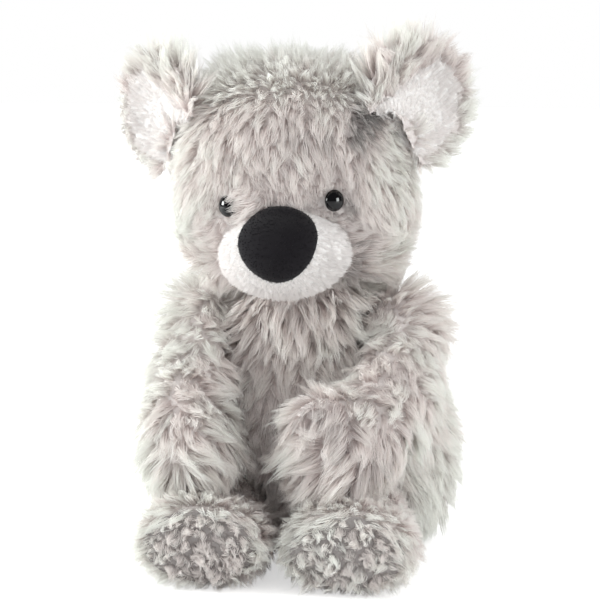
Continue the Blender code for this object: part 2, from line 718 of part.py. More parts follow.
def leg_form(name, side, inset, material=None):
    hip = hip_of(side)
    end_reach = TOE_ROUND_SHARE * FOOT_TALL / 2
    last = Vector((hip.x, -TOE_OUT + end_reach, FOOT_TALL / 2))
    path, widths, heights = [hip], [HIP_RADIUS], [HIP_RADIUS]
    for along, foot, tall in LEG_SHARES:
        place = hip.lerp(last, along)
        height = tall * FOOT_TALL / 2
        path.append(Vector((place.x, place.y, height)))
        widths.append((THIGH_WIDTH + (FOOT_WIDTH - THIGH_WIDTH) * foot) / 2)
        heights.append(height)
    rings = tube_rings(path, widths, heights, inset, HIP_RADIUS, end_reach, floor=0.0)
    return solid_through(name, rings, material)


def sole_block(name, side, lift):
    """Everything in front of the seam between the foot and its sole panel."""
    seam = Vector((hip_of(side).x, SOLE_THICKNESS + lift - TOE_OUT, FOOT_TALL / 2))
    front = Vector((seam.x, -TOE_OUT - OVERRUN, seam.z))
    return rod(name, seam, front, FOOT_WIDTH)


def make_leg(side, word, fur, fill):
    skin = leg_form(f"leg_skin_{word}", side, 0.0, fur)
    cavity = leg_form(f"leg_cavity_{word}", side, PILE_THICKNESS)
    stuffing = leg_form(f"leg_stuffing_{word}", side, PILE_THICKNESS + FILLING_GAP, fill)
    splay = Matrix.Rotation(-math.radians(side * LEG_SPLAY_DEG), 4, "Z")
    for piece, lift in zip((skin, cavity, stuffing), TRIM_LIFTS):
        cut(piece, limb_trim(f"{piece.name}_trim", hip_of(side), HIP_RADIUS, FORWARDS, splay, lift))
    cut(skin, cavity, sole_block(f"sole_room_{word}", side, FIT_GAP))
    cut(stuffing, sole_block(f"sole_clear_{word}", side, FIT_GAP))
    sole = leg_form(f"sole_{word}", side, 0.0, fur)
    combine(sole, sole_block(f"sole_slice_{word}", side, 0.0), "INTERSECT")
    return [skin, stuffing, sole]


def footprint_shift(pieces):
    """The move that puts the centre of the whole koala's footprint on the origin."""
    bpy.context.view_layer.update()
    graph = bpy.context.evaluated_depsgraph_get()
    corners = []
    for piece in pieces:
        evaluated = piece.evaluated_get(graph)
        corners += [evaluated.matrix_world @ Vector(corner) for corner in evaluated.bound_box]
    lowest = [min(corner[k] for corner in corners) for k in range(3)]
    highest = [max(corner[k] for corner in corners) for k in range(3)]
    return Vector((-(lowest[0] + highest[0]) / 2, -(lowest[1] + highest[1]) / 2, -lowest[2]))


def main():
    for obj in list(bpy.data.objects):
        bpy.data.objects.remove(obj)
    fur = material_of("grey_pile", (0.47, 0.43, 0.41), 0.9)
    white = material_of("white_short_pile", (0.80, 0.78, 0.77), 0.9)
    fill = material_of("polyester_fill", (0.85, 0.85, 0.83), 0.9)
    cloth = material_of("cotton_bag", (0.72, 0.67, 0.56), 0.85)
    pellets = material_of("plastic_pellets", (0.80, 0.80, 0.82), 0.5)
    velour = material_of("black_velour", (0.015, 0.013, 0.017), 0.85)
    plastic = material_of("black_plastic", (0.010, 0.010, 0.011), 0.12)
    washer_plastic = material_of("white_plastic", (0.75, 0.75, 0.75), 0.4)

    koala = empty_at("koala", Vector())
    head_frame = empty_at("head_pivot", NECK, koala)
    head_frame.rotation_euler.y = -math.radians(HEAD_TILT_DEG)
    pieces = made_on(koala, make_torso, fur, fill, cloth, pellets)
    plug = made_on(koala, make_neck, fill)
    pieces += hang_on_pivot("neck_pivot", NECK, koala, plug)
    pieces += made_on(head_frame, make_head, fur, white, fill, velour, plastic, washer_plastic)
    for side, word in ((1, "left"), (-1, "right")):
        ear = made_on(head_frame, make_ear, side, word, fur, white)
        pieces += hang_on_pivot(f"ear_pivot_{word}", ear_hinge(side)[0], head_frame, ear)
        arm = made_on(koala, make_arm, side, word, fur, fill)
        pieces += hang_on_pivot(f"arm_pivot_{word}", shoulder_of(side), koala, arm)
        leg = made_on(koala, make_leg, side, word, fur, fill)
        pieces += hang_on_pivot(f"leg_pivot_{word}", hip_of(side), koala, leg)
    koala.location = footprint_shift(pieces)


main()
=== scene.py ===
"""A seated plush koala with long grey pile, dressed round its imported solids.

Every stuffed piece is a pile fabric: a backing that follows the piece's solid, and locks of fibres that a
Geometry Nodes tree plants on it. Each backing carries how its pile lies: its comb, reach, lift and cover.
"""
import json
import math
from typing import NamedTuple

import bmesh
import bpy
import numpy as np
from bpy.props import FloatProperty, FloatVectorProperty, IntProperty, PointerProperty
from mathutils import Matrix, Vector, noise
from mathutils.bvhtree import BVHTree

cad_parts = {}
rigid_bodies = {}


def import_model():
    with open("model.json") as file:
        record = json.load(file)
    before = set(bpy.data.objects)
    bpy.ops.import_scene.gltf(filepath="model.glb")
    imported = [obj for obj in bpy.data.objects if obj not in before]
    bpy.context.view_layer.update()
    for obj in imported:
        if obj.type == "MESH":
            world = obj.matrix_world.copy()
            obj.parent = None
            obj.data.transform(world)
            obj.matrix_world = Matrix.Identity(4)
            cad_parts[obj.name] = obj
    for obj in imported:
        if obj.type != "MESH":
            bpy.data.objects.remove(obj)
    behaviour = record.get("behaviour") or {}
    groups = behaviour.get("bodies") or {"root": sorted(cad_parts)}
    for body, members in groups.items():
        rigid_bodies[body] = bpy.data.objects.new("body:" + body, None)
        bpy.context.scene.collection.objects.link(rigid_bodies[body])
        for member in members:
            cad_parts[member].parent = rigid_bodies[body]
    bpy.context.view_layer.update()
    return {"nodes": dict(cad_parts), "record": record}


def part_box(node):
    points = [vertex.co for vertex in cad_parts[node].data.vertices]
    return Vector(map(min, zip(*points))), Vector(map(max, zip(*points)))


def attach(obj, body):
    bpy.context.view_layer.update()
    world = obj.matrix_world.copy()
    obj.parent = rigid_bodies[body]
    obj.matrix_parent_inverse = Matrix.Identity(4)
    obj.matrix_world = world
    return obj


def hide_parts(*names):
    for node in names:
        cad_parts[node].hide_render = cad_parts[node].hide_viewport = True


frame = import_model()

bl_info = {
    "name": "Plush koala",
    "version": (1, 0, 0),
    "blender": (4, 5, 0),
    "location": "3D View > Sidebar > Koala",
    "description": "Dresses the packed koala with pile fabric, eyes and a nose",
    "category": "Add Mesh",
}

MM = 0.001
SIDES = {"left": 1, "right": -1}  # the koala's own sides, along X
UP = Vector((0, 0, 1))


# Settings

def linear(hex_colour):
    """An sRGB hex colour as linear RGBA."""
    shares = [int(hex_colour[i:i + 2], 16) / 255 for i in (1, 3, 5)]
    return tuple(c / 12.92 if c <= 0.04045 else ((c + 0.055) / 1.055) ** 2.4 for c in shares) + (1.0,)


def colour_property(name, hex_colour, description):
    return FloatVectorProperty(
        name=name, description=description, default=linear(hex_colour)[:3],
        subtype="COLOR", min=0.0, max=1.0,
    )


def length_property(name, millimetres, description):
    return FloatProperty(
        name=name, description=description, default=millimetres * MM,
        unit="LENGTH", subtype="DISTANCE", precision=4,
    )


def angle_property(name, degrees, description):
    return FloatProperty(name=name, description=description, default=math.radians(degrees), subtype="ANGLE")


class PileSettings(bpy.types.PropertyGroup):
    """How the long pile is made and coloured."""

    spacing: length_property("Spacing", 2.45, "Least distance between two locks")
    length: length_property("Length", 16.0, "Length of a lock on the body")
    fibre_width: length_property("Fibre width", 0.36, "Width of one drawn fibre at its root")
    lock_width: length_property("Lock width", 3.6, "Width of a lock at its root")
    clump: length_property("Clump", 7.5, "Distance between the tips that locks gather to")
    sink: length_property("Sink", 5.0, "Depth of the backing below the solid's surface")
    seed: IntProperty(name="Seed", description="Seed of the locks' places", default=4)
    # The darker root colour is partly the fibres' own and partly painted shade deep in the pile; the backings
    # take it too.
    root: colour_property("Root", "#DCD5D3", "Fibres at the backing")
    middle: colour_property("Middle", "#FAF8F6", "Fibres halfway up")
    tip: colour_property("Tip", "#FDFEFB", "Fibres at their tips")
    warm: colour_property("Warm", "#FBF7F7", "Cast of the mauve locks")
    cool: colour_property("Cool", "#FBFCFB", "Cast of the pale locks")


class TrimSettings(bpy.types.PropertyGroup):
    """Muzzle, ear linings, nose and eyes."""

    short_length: length_property("Short pile", 2.2, "Length of the white pile")
    short_spacing: length_property("Short spacing", 0.95, "Distance between its tufts")
    fibre: colour_property("White fibre", "#F7F4F3", "White short pile")
    white: colour_property("White cloth", "#E4E1E0", "Its backing")
    velour: colour_property("Velour", "#110E13", "Black velour")
    velour_length: length_property("Velour pile", 1.0, "Length of the velour's fibres")
    eye: colour_property("Eye", "#0B0A0C", "Black eye plastic")


class StageSettings(bpy.types.PropertyGroup):
    """Camera and light."""

    azimuth: angle_property("Azimuth", 9, "Camera's turn")
    elevation: angle_property("Elevation", 9, "Its height")
    distance: length_property("Distance", 1200.0, "Camera to the koala's middle")
    lens: FloatProperty(name="Lens", description="Focal length in millimetres", default=123.06)
    target: FloatVectorProperty(
        name="Target", description="Point in the middle of the view",
        default=(0.00318, 0.03925, 0.14040), subtype="XYZ", unit="LENGTH",
    )
    sky: FloatProperty(name="Sky", description="Strength of the even light", default=0.80)
    left_power: FloatProperty(name="Left lamp", description="Power in watts", default=18.0)
    right_power: FloatProperty(name="Right lamp", description="Power in watts", default=8.0)


def settings(name):
    return getattr(bpy.context.scene, f"koala_{name}")


# Nodes

def add_node(tree, kind, links=None, **values):
    """Adds a node. values set its properties; links set its inputs, each from a socket or to a value."""
    node = tree.nodes.new(kind)
    for name, value in values.items():
        setattr(node, name, value)
    for key, source in (links or {}).items():
        socket = node.inputs[key]
        if isinstance(source, bpy.types.NodeSocket):
            tree.links.new(source, socket)
        else:
            socket.default_value = source
    return node


def new_material(name):
    """A material with an empty tree and its output."""
    made = bpy.data.materials.new(name)
    made.use_nodes = True
    tree = made.node_tree
    tree.nodes.clear()
    return made, tree, tree.nodes.new("ShaderNodeOutputMaterial")


def ramp_node(tree, factor, stops):
    """A colour ramp through (place, colour) stops."""
    node = add_node(tree, "ShaderNodeValToRGB", {"Fac": factor})
    elements = node.color_ramp.elements
    while len(elements) < len(stops):
        elements.new(0.5)
    for element, (place, colour) in zip(elements, stops):
        element.position = place
        element.color = tuple(colour[:3]) + (1.0,)
    return node.outputs["Color"]


def grain_node(tree, size, detail):
    """Noise over the object's own space with a grain of this size."""
    place = add_node(tree, "ShaderNodeTexCoord").outputs["Object"]
    links = {"Vector": place, "Scale": 1 / size, "Detail": detail}
    return add_node(tree, "ShaderNodeTexNoise", links).outputs[0]


def surface_node(tree, output, links):
    """A principled surface as the material's whole output."""
    made = add_node(tree, "ShaderNodeBsdfPrincipled", links)
    tree.links.new(made.outputs[0], output.inputs["Surface"])


def dimmed(colour, share):
    """A linear colour at this share of its brightness."""
    return [c * share for c in colour[:3]]


# Materials

PILE_MAP = "OFBake"  # across: tone of the lock. Up: from root to tip.
EVEN = (1.0, 1.0, 1.0)  # a cast that changes nothing


def pile_material(name, root, middle, tip, warm, cool, through):
    """Acrylic or polyester pile: pale tips over darker roots, which are partly painted shade deep in the pile,
    and each lock of its own tone, which painted light and shade also move.

    Fibres scatter light, so part of it goes through them, which softens the shade between the locks.
    """
    made, tree, output = new_material(name)
    place = add_node(tree, "ShaderNodeUVMap", uv_map=PILE_MAP).outputs["UV"]
    parts = add_node(tree, "ShaderNodeSeparateXYZ", {0: place})
    along = ramp_node(tree, parts.outputs["Y"], ((0.0, root), (0.42, middle), (1.0, tip)))
    # From locks darkened by painted shade in a fold, through the mauve ones, to the pale ones, to which
    # painted light moves the lit places.
    cast = ramp_node(tree, parts.outputs["X"], (
        (0.0, dimmed(warm, 0.4)), (0.3, dimmed(warm, 0.88)), (0.55, warm), (0.8, cool),
    ))
    colour = add_node(
        tree, "ShaderNodeMix", {"Factor": 1.0, 6: along, 7: cast}, data_type="RGBA", blend_type="MULTIPLY",
    ).outputs[2]
    front = add_node(tree, "ShaderNodeBsdfPrincipled", {
        "Base Color": colour, "Roughness": 0.72, "Specular IOR Level": 0.3, "IOR": 1.5,
        "Sheen Weight": 0.12, "Sheen Roughness": 0.4,
    })
    behind = add_node(tree, "ShaderNodeBsdfTranslucent", {"Color": colour})
    mixed = add_node(tree, "ShaderNodeMixShader", {0: through, 1: front.outputs[0], 2: behind.outputs[0]})
    tree.links.new(mixed.outputs[0], output.inputs["Surface"])
    return made


def backing_material(name, colour):
    """Knitted polyester backing under the pile, seen only in the partings: its loops are 1 mm apart."""
    made, tree, output = new_material(name)
    loops = grain_node(tree, 1.0 * MM, 2.0)
    shade = ramp_node(tree, loops, ((0.3, dimmed(colour, 0.85)), (0.7, colour)))
    bump = add_node(tree, "ShaderNodeBump", {"Strength": 0.5, "Distance": 0.4 * MM, "Height": loops})
    surface_node(tree, output, {
        "Base Color": shade, "Roughness": 0.95, "Normal": bump.outputs[0], "Sheen Weight": 0.1,
    })
    return made


def grey_pile():
    pile = settings("pile")
    return pile_material("acrylic_long_pile", pile.root, pile.middle, pile.tip, pile.warm, pile.cool, 0.55)


def grey_backing():
    return backing_material("knitted_grey_backing", settings("pile").root)


def curled_pile():
    """The same fibres with darker roots, painted shade in the creases between the crushed curls."""
    pile = settings("pile")
    root = dimmed(pile.root, 0.6)
    return pile_material("acrylic_curled_pile", root, pile.middle, pile.tip, pile.warm, pile.cool, 0.55)


# The soles' backing, drawn darker as painted shade where it shows in the creases between the curls.
def crease_shade_backing():
    return backing_material("knitted_dark_backing", dimmed(settings("pile").root, 0.5))


def white_pile():
    white = settings("trim").fibre
    # The dimmer cast is painted shade, where the muzzle's side away from the light is moved to.
    cast = dimmed(EVEN, 0.92)
    return pile_material("white_polyester_short_pile", dimmed(white, 0.97), white, white, cast, EVEN, 0.5)


def white_backing():
    return backing_material("knitted_white_backing", settings("trim").white)


def velour_material():
    """Cut velour: matte, nearly black, with a faint sheen where its fibres stand against the light."""
    colour = settings("trim").velour
    made, tree, output = new_material("black_cut_velour")
    shade = ramp_node(tree, grain_node(tree, 0.5 * MM, 2.0), ((0.35, colour), (0.7, dimmed(colour, 1.35))))
    surface_node(tree, output, {
        "Base Color": shade, "Roughness": 0.9, "Sheen Weight": 0.08, "Sheen Roughness": 0.5,
        "Specular IOR Level": 0.25,
    })
    return made


def eye_material():
    """Injection-moulded acetal eye with a polished dome: black, sharp reflections."""
    made, tree, output = new_material("polished_black_eye")
    dust = grain_node(tree, 0.8 * MM, 3.0)
    rough = add_node(tree, "ShaderNodeMapRange", {
        "Value": dust, "From Min": 0.4, "From Max": 0.9, "To Min": 0.04, "To Max": 0.12,
    })
    surface_node(tree, output, {
        "Base Color": tuple(settings("trim").eye) + (1.0,), "Roughness": rough.outputs[0], "IOR": 1.48,
        "Specular IOR Level": 0.45,
    })
    return made


def washer_material():
    """Moulded white polythene of the eyes' lock washers, slightly waxy."""
    made, tree, output = new_material("white_polythene_washer")
    stops = ((0.3, linear("#D8D8D6")), (0.7, linear("#E6E6E4")))
    shade = ramp_node(tree, grain_node(tree, 1.5 * MM, 1.0), stops)
    surface_node(tree, output, {"Base Color": shade, "Roughness": 0.4, "IOR": 1.51})
    return made


# Meshes

SMOOTHING = 0.5  # how far one round moves a point towards its neighbours' middle
NEAR_ZERO = 1e-9


def place_object(name, mesh):
    made = bpy.data.objects.new(name, mesh)
    bpy.context.scene.collection.objects.link(made)
    return made


def remove_object(made):
    mesh = made.data
    bpy.data.objects.remove(made)
    bpy.data.meshes.remove(mesh)


def evaluated_copy(name, source):
    """The source with its modifiers applied, as a new object; the source is removed."""
    bpy.context.view_layer.update()
    graph = bpy.context.evaluated_depsgraph_get()
    mesh = bpy.data.meshes.new_from_object(source.evaluated_get(graph), depsgraph=graph)
    mesh.name = name
    remove_object(source)
    return place_object(name, mesh)


def largest_shell(bm):
    """Deletes all but the largest of the mesh's loose parts."""
    left = set(bm.verts)
    shells = []
    while left:
        stack = [left.pop()]
        shell = list(stack)
        while stack:
            for edge in stack.pop().link_edges:
                for vertex in edge.verts:
                    if vertex in left:
                        left.remove(vertex)
                        shell.append(vertex)
                        stack.append(vertex)
        shells.append(shell)
    shells.sort(key=len)
    for shell in shells[:-1]:
        bmesh.ops.delete(bm, geom=shell, context="VERTS")


def smooth(bm, rounds):
    for _ in range(rounds):
        bmesh.ops.smooth_vert(
            bm, verts=bm.verts, factor=SMOOTHING, use_axis_x=True, use_axis_y=True, use_axis_z=True,
        )


def backing_of(name, nodes, voxel, smooth_rounds, sink):
    """One closed backing round the given solids, smoothed and sunk below their surface."""
    bm = bmesh.new()
    for node in nodes:
        bm.from_mesh(frame["nodes"][node].data)
    bmesh.ops.remove_doubles(bm, verts=bm.verts, dist=0.001 * MM)
    mesh = bpy.data.meshes.new(name)
    bm.to_mesh(mesh)
    bm.free()
    rough = place_object(f"{name}_rough", mesh)
    remesh = rough.modifiers.new("remesh", "REMESH")
    remesh.mode = "VOXEL"
    remesh.voxel_size = voxel
    made = evaluated_copy(name, rough)
    bm = bmesh.new()
    bm.from_mesh(made.data)
    largest_shell(bm)
    smooth(bm, smooth_rounds)
    bm.normal_update()
    moves = [vertex.normal * -sink for vertex in bm.verts]
    for vertex, move in zip(bm.verts, moves):
        vertex.co += move
    smooth(bm, 1)
    bm.to_mesh(made.data)
    bm.free()
    made.data.materials.clear()
    made.data.shade_smooth()
    return made


def closed_object(name, bm):
    """The mesh with its faces outward and smooth, as a new object."""
    bmesh.ops.recalc_face_normals(bm, faces=bm.faces)
    mesh = bpy.data.meshes.new(name)
    bm.to_mesh(mesh)
    bm.free()
    mesh.shade_smooth()
    return place_object(name, mesh)


def join_rings(bm, ring, after):
    """Faces between two rings of points, of which one may be a single point."""
    turns = max(len(ring), len(after))
    for i in range(turns):
        j = (i + 1) % turns
        corners = (ring[i % len(ring)], after[i % len(after)], after[j % len(after)], ring[j % len(ring)])
        bm.faces.new(list(dict.fromkeys(corners)))


def places_of(made):
    vertices = made.data.vertices
    found = np.empty(len(vertices) * 3)
    vertices.foreach_get("co", found)
    return found.reshape(-1, 3)


def normals_of(made):
    return np.array([vertex.normal[:] for vertex in made.data.vertices])


def move_to(made, places):
    made.data.vertices.foreach_set("co", places.ravel())
    made.data.update()


def swell(made, rise):
    """Moves a mesh outwards along its normals."""
    move_to(made, places_of(made) + normals_of(made) * rise[:, None])


def pull(made, towards, share):
    """Moves each of a mesh's points by its share of the way towards one place."""
    places = places_of(made)
    move_to(made, places + (towards - places) * share[:, None])


# Places

def middle_of(node):
    low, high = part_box(node)
    return np.array((low + high) / 2)


def joint_place(name):
    return np.array(next(j["pos_m"] for j in frame["record"]["behaviour"]["joints"] if j["name"] == name))


def tree_of(*nodes):
    """A search tree over CAD solids."""
    points, faces = [], []
    for node in nodes:
        mesh = frame["nodes"][node].data
        start = len(points)
        points += [vertex.co.copy() for vertex in mesh.vertices]
        faces += [[start + i for i in face.vertices] for face in mesh.polygons]
    return BVHTree.FromPolygons(points, faces)


def tree_instead(made):
    """A search tree over a mesh, which is then removed."""
    mesh = made.data
    points = [vertex.co for vertex in mesh.vertices]
    tree = BVHTree.FromPolygons(points, [face.vertices for face in mesh.polygons])
    remove_object(made)
    return tree


def room_above(places, normals, tree, reach):
    """How far each point is from the tree's faces straight above it, up to reach."""
    room = np.full(len(places), reach)
    for i, (place, normal) in enumerate(zip(places, normals)):
        hit = tree.ray_cast(Vector(place), Vector(normal), reach)
        if hit[0] is not None:
            room[i] = hit[3]
    return room


def covered(places, normals, tree, reach):
    """Whether the tree's faces lie straight above each point, nearer than reach."""
    return room_above(places, normals, tree, reach) < reach


def unit(vectors):
    return vectors / np.maximum(np.linalg.norm(vectors, axis=1, keepdims=True), NEAR_ZERO)


def smooth_step(low, high, values):
    t = np.clip((values - low) / (high - low), 0, 1)
    return t * t * (3 - 2 * t)


def around(places, middle, first, second, weights=(1, 1, 1)):
    """0 at the first distance from a point and 1 at the second. weights stretch the axes."""
    return smooth_step(first, second, np.linalg.norm((places - middle) * weights, axis=1))


def at_least(low, share):
    """A share from 0 to 1, eased to run from low to 1."""
    return low + (1 - low) * share


# Locks

LOCK_LEAN = 0.06  # spread of the locks' leans
ROOT_OVAL = 0.6  # a lock's thickness against its width
SHORTEST = 0.62  # the shortest fibre against the longest
TIP_SPREAD = 0.10  # spread of the tips, as a share of the lock's width
SIDE_BOW = 0.35  # spread of the fibres' bows to the side
ARCH = 0.16  # how high a fibre arches over its chord
TONE_SPREAD = 0.08  # greatest difference of tone of a fibre from its lock, and of a lock from its clump
EDGE_TONE = 0.03  # difference of tone across a fibre
TIP_WIDTH = 0.03 * MM


class Lock(NamedTuple):
    """One kind of lock: fibres of unit length along Z that rise to +Y and gather towards one tip."""

    fibres: int
    width: float
    fibre_width: float
    gather: float  # how far the tips close up, from 0 to 1
    curl: float  # spread of the locks' sideways curls
    roll: float  # greatest turn of a fibre's flat side, in radians
    bow: float = 10 * MM  # length that a fibre's arch and curl are measured by
    stations: tuple = (0.0, 0.36, 0.72, 1.0)


def fibre_rows(rng, kind, lean, swirl):
    """One fibre's points and map places, station by station: two at each, one at the tip."""
    angle = rng.uniform(0, 2 * math.pi)
    reach = math.sqrt(rng.uniform(0, 1)) / 2
    root = np.array([math.cos(angle), ROOT_OVAL * math.sin(angle)]) * reach * kind.width
    long = rng.uniform(SHORTEST, 1.0)
    tip = root * (1 - kind.gather) + rng.normal(0, TIP_SPREAD, 2) * kind.width
    side = rng.normal(0, SIDE_BOW) * min(kind.width, kind.bow)
    turn = rng.uniform(-kind.roll, kind.roll)
    across = np.array([math.cos(turn), math.sin(turn), 0])
    width = kind.fibre_width * rng.uniform(0.7, 1.25)
    tone = rng.uniform(-TONE_SPREAD, TONE_SPREAD)
    points, maps = [], []
    for t in kind.stations:
        arch = ARCH * math.sin(math.pi * t) * long
        bend = swirl * t * t
        x = root[0] * (1 - t) + tip[0] * t + side * math.sin(math.pi * t)
        y = root[1] * (1 - t) + tip[1] * t
        middle = np.array([x + (bend + lean[0] * t) * kind.bow, y + (arch + lean[1] * t) * kind.bow, t * long])
        if t == 1:
            points.append(middle)
            maps.append((tone, t))
            continue
        half = width / 2 * (1 - t ** 1.6) + TIP_WIDTH
        points += [middle - across * half, middle + across * half]
        maps += [(tone - EDGE_TONE, t), (tone + EDGE_TONE, t)]
    return points, maps


def lock_mesh(name, rng, kind):
    points, faces, maps = [], [], []
    lean = rng.normal(0, LOCK_LEAN, 2)
    swirl = rng.normal(0, kind.curl)
    for _ in range(kind.fibres):
        low = len(points)
        more_points, more_maps = fibre_rows(rng, kind, lean, swirl)
        points += more_points
        maps += more_maps
        for _ in kind.stations[:-2]:
            faces.append((low, low + 1, low + 3, low + 2))
            low += 2
        faces.append((low, low + 1, low + 2))
    mesh = bpy.data.meshes.new(name)
    mesh.from_pydata([tuple(p) for p in points], [], faces)
    layer = mesh.uv_layers.new(name=PILE_MAP)
    corners = [maps[loop.vertex_index] for loop in mesh.loops]
    layer.data.foreach_set("uv", np.array(corners).ravel())
    mesh.shade_smooth()
    return mesh


def lock_meshes(name, count, seed, kind):
    """A collection of variants of one kind of lock."""
    rng = np.random.default_rng(seed)
    collection = bpy.data.collections.new(name)
    for k in range(count):
        mesh = lock_mesh(f"{name}_{k}", rng, kind)
        collection.objects.link(bpy.data.objects.new(mesh.name, mesh))
    return collection


def discard(collection):
    for made in list(collection.objects):
        remove_object(made)
    bpy.data.collections.remove(collection)


def long_locks():
    pile = settings("pile")
    return lock_meshes("lock", 8, 21, Lock(
        fibres=15, width=pile.lock_width, fibre_width=pile.fibre_width, gather=0.6, curl=0.15, roll=0.6,
    ))


def curls():
    pile = settings("pile")
    return lock_meshes("curl", 8, 33, Lock(
        fibres=14, width=pile.lock_width, fibre_width=pile.fibre_width, gather=0.8, curl=0.4, roll=0.6,
    ))


def short_tufts():
    return lock_meshes("tuft", 6, 44, Lock(
        fibres=8, width=settings("trim").short_spacing * 2.2, fibre_width=0.20 * MM, gather=0.1, curl=0.03,
        roll=0.4, bow=0.5 * MM, stations=(0.0, 0.5, 1.0),
    ))


def velour_tufts():
    return lock_meshes("velour_tuft", 4, 55, Lock(
        fibres=4, width=0.9 * MM, fibre_width=0.22 * MM, gather=0.1, curl=0.02,
        roll=0.5, bow=0.3 * MM, stations=(0.0, 0.5, 1.0),
    ))


# The tree that plants the locks

HALF = (0.5, 0.5, 0.5)
MOST_LOCKS = 4e5  # per square metre, before the spacing thins them
SWIRL_SCALE = 38.0  # of the noise that turns the comb
PATCH_SCALE = 22.0  # of the noise that shades whole areas
WAVE_SCALE = 85.0  # of the noise that waves the fibres
PRESSED = 3 * MM  # height below which the floor presses the pile
LAST_PICK = 99  # picks run past the count of variants, which repeats them
TREE_INPUTS = ("Spacing", "Clump", "Gather", "Wander", "Whorl", "Wave", "Mottle")


def named(tree, name, kind="FLOAT"):
    links = {"Name": name}
    return add_node(tree, "GeometryNodeInputNamedAttribute", links, data_type=kind).outputs["Attribute"]


def vector(tree, operation, first, second=None, scale=None):
    links = {0: first}
    if second is not None:
        links[1] = second
    if scale is not None:
        links["Scale"] = scale
    return add_node(tree, "ShaderNodeVectorMath", links, operation=operation).outputs[0]


def number(tree, operation, first, second):
    return add_node(tree, "ShaderNodeMath", {0: first, 1: second}, operation=operation).outputs[0]


def random_number(tree, low, high, seed):
    """A random number for each lock. Each draw has a seed of its own."""
    links = {2: low, 3: high, "Seed": seed}
    return add_node(tree, "FunctionNodeRandomValue", links, data_type="FLOAT").outputs[1]


def cloud(tree, place, scale, detail=1.0):
    links = {"Vector": place, "Scale": scale, "Detail": detail}
    return add_node(tree, "ShaderNodeTexNoise", links).outputs


def about_zero(tree, colour):
    """A noise's colour as a vector about zero."""
    return vector(tree, "SUBTRACT", colour, HALF)


def combined(tree, x, y, z=0.0):
    return add_node(tree, "ShaderNodeCombineXYZ", {0: x, 1: y, 2: z}).outputs[0]


def lock_turn(tree, given, place, normal, cells, lean):
    """Lays a lock along the comb and its clump's own lean, and towards the clump's middle."""
    lean = vector(tree, "SCALE", lean, scale=given["Wander"])
    lean = vector(tree, "ADD", named(tree, "comb", "FLOAT_VECTOR"), lean)
    swirl = about_zero(tree, cloud(tree, place, SWIRL_SCALE)["Color"])
    lean = vector(tree, "ADD", lean, vector(tree, "SCALE", swirl, scale=given["Whorl"]))
    dot = add_node(tree, "ShaderNodeVectorMath", {0: lean, 1: normal}, operation="DOT_PRODUCT")
    height = dot.outputs["Value"]
    flat = vector(tree, "SUBTRACT", lean, vector(tree, "SCALE", normal, scale=height))
    flat = vector(tree, "NORMALIZE", flat)
    rise = number(tree, "MULTIPLY", named(tree, "lift"), random_number(tree, 0.75, 1.25, 11))
    way = vector(tree, "ADD", flat, vector(tree, "SCALE", normal, scale=rise))
    way = vector(tree, "SCALE", vector(tree, "NORMALIZE", way), scale=named(tree, "reach"))
    to_middle = vector(tree, "SUBTRACT", cells["Position"], place)
    way = vector(tree, "ADD", way, vector(tree, "SCALE", to_middle, scale=given["Gather"]))
    tilt = add_node(tree, "FunctionNodeRandomValue", {
        0: (-0.5, -0.5, -0.5), 1: HALF, "Seed": 5,
    }, data_type="FLOAT_VECTOR").outputs[0]
    return add_node(tree, "FunctionNodeAxesToRotation", {
        "Primary Axis": vector(tree, "NORMALIZE", way), "Secondary Axis": vector(tree, "ADD", normal, tilt),
    }, primary_axis="Z", secondary_axis="Y").outputs[0]


def lock_tone(tree, given, place, lean):
    """Tone: the piece's own tone and its painted light and shade, the clump's, the area's and the lock's."""
    own = add_node(tree, "ShaderNodeSeparateXYZ", {0: lean}).outputs["Z"]
    patch = cloud(tree, place, PATCH_SCALE, 2.0)[0]
    own = number(tree, "MULTIPLY", own, given["Mottle"])
    tone = number(tree, "ADD", own, number(tree, "SUBTRACT", patch, 0.5))
    tone = number(tree, "ADD", tone, random_number(tree, -TONE_SPREAD, TONE_SPREAD, 9))
    return number(tree, "ADD", tone, named(tree, "shade"))


def waved_and_pressed(tree, geometry, given, place, up_fibre):
    """The fibres wave more towards their tips, and the floor presses them flat."""
    wave = about_zero(tree, cloud(tree, place, WAVE_SCALE)["Color"])
    strength = number(tree, "MULTIPLY", number(tree, "POWER", up_fibre, 1.6), given["Wave"])
    wave = vector(tree, "SCALE", wave, scale=strength)
    waved = add_node(tree, "GeometryNodeSetPosition", {"Geometry": geometry, "Offset": wave})
    x, y, z = add_node(tree, "ShaderNodeSeparateXYZ", {0: place}).outputs
    above = number(tree, "SUBTRACT", number(tree, "MAXIMUM", z, PRESSED), PRESSED)
    below = number(tree, "SUBTRACT", number(tree, "MINIMUM", z, PRESSED), PRESSED)
    below = number(tree, "EXPONENT", number(tree, "DIVIDE", below, PRESSED), 0.0)
    height = number(tree, "ADD", above, number(tree, "MULTIPLY", below, PRESSED))
    return add_node(tree, "GeometryNodeSetPosition", {
        "Geometry": waved.outputs[0], "Position": combined(tree, x, y, height),
    })


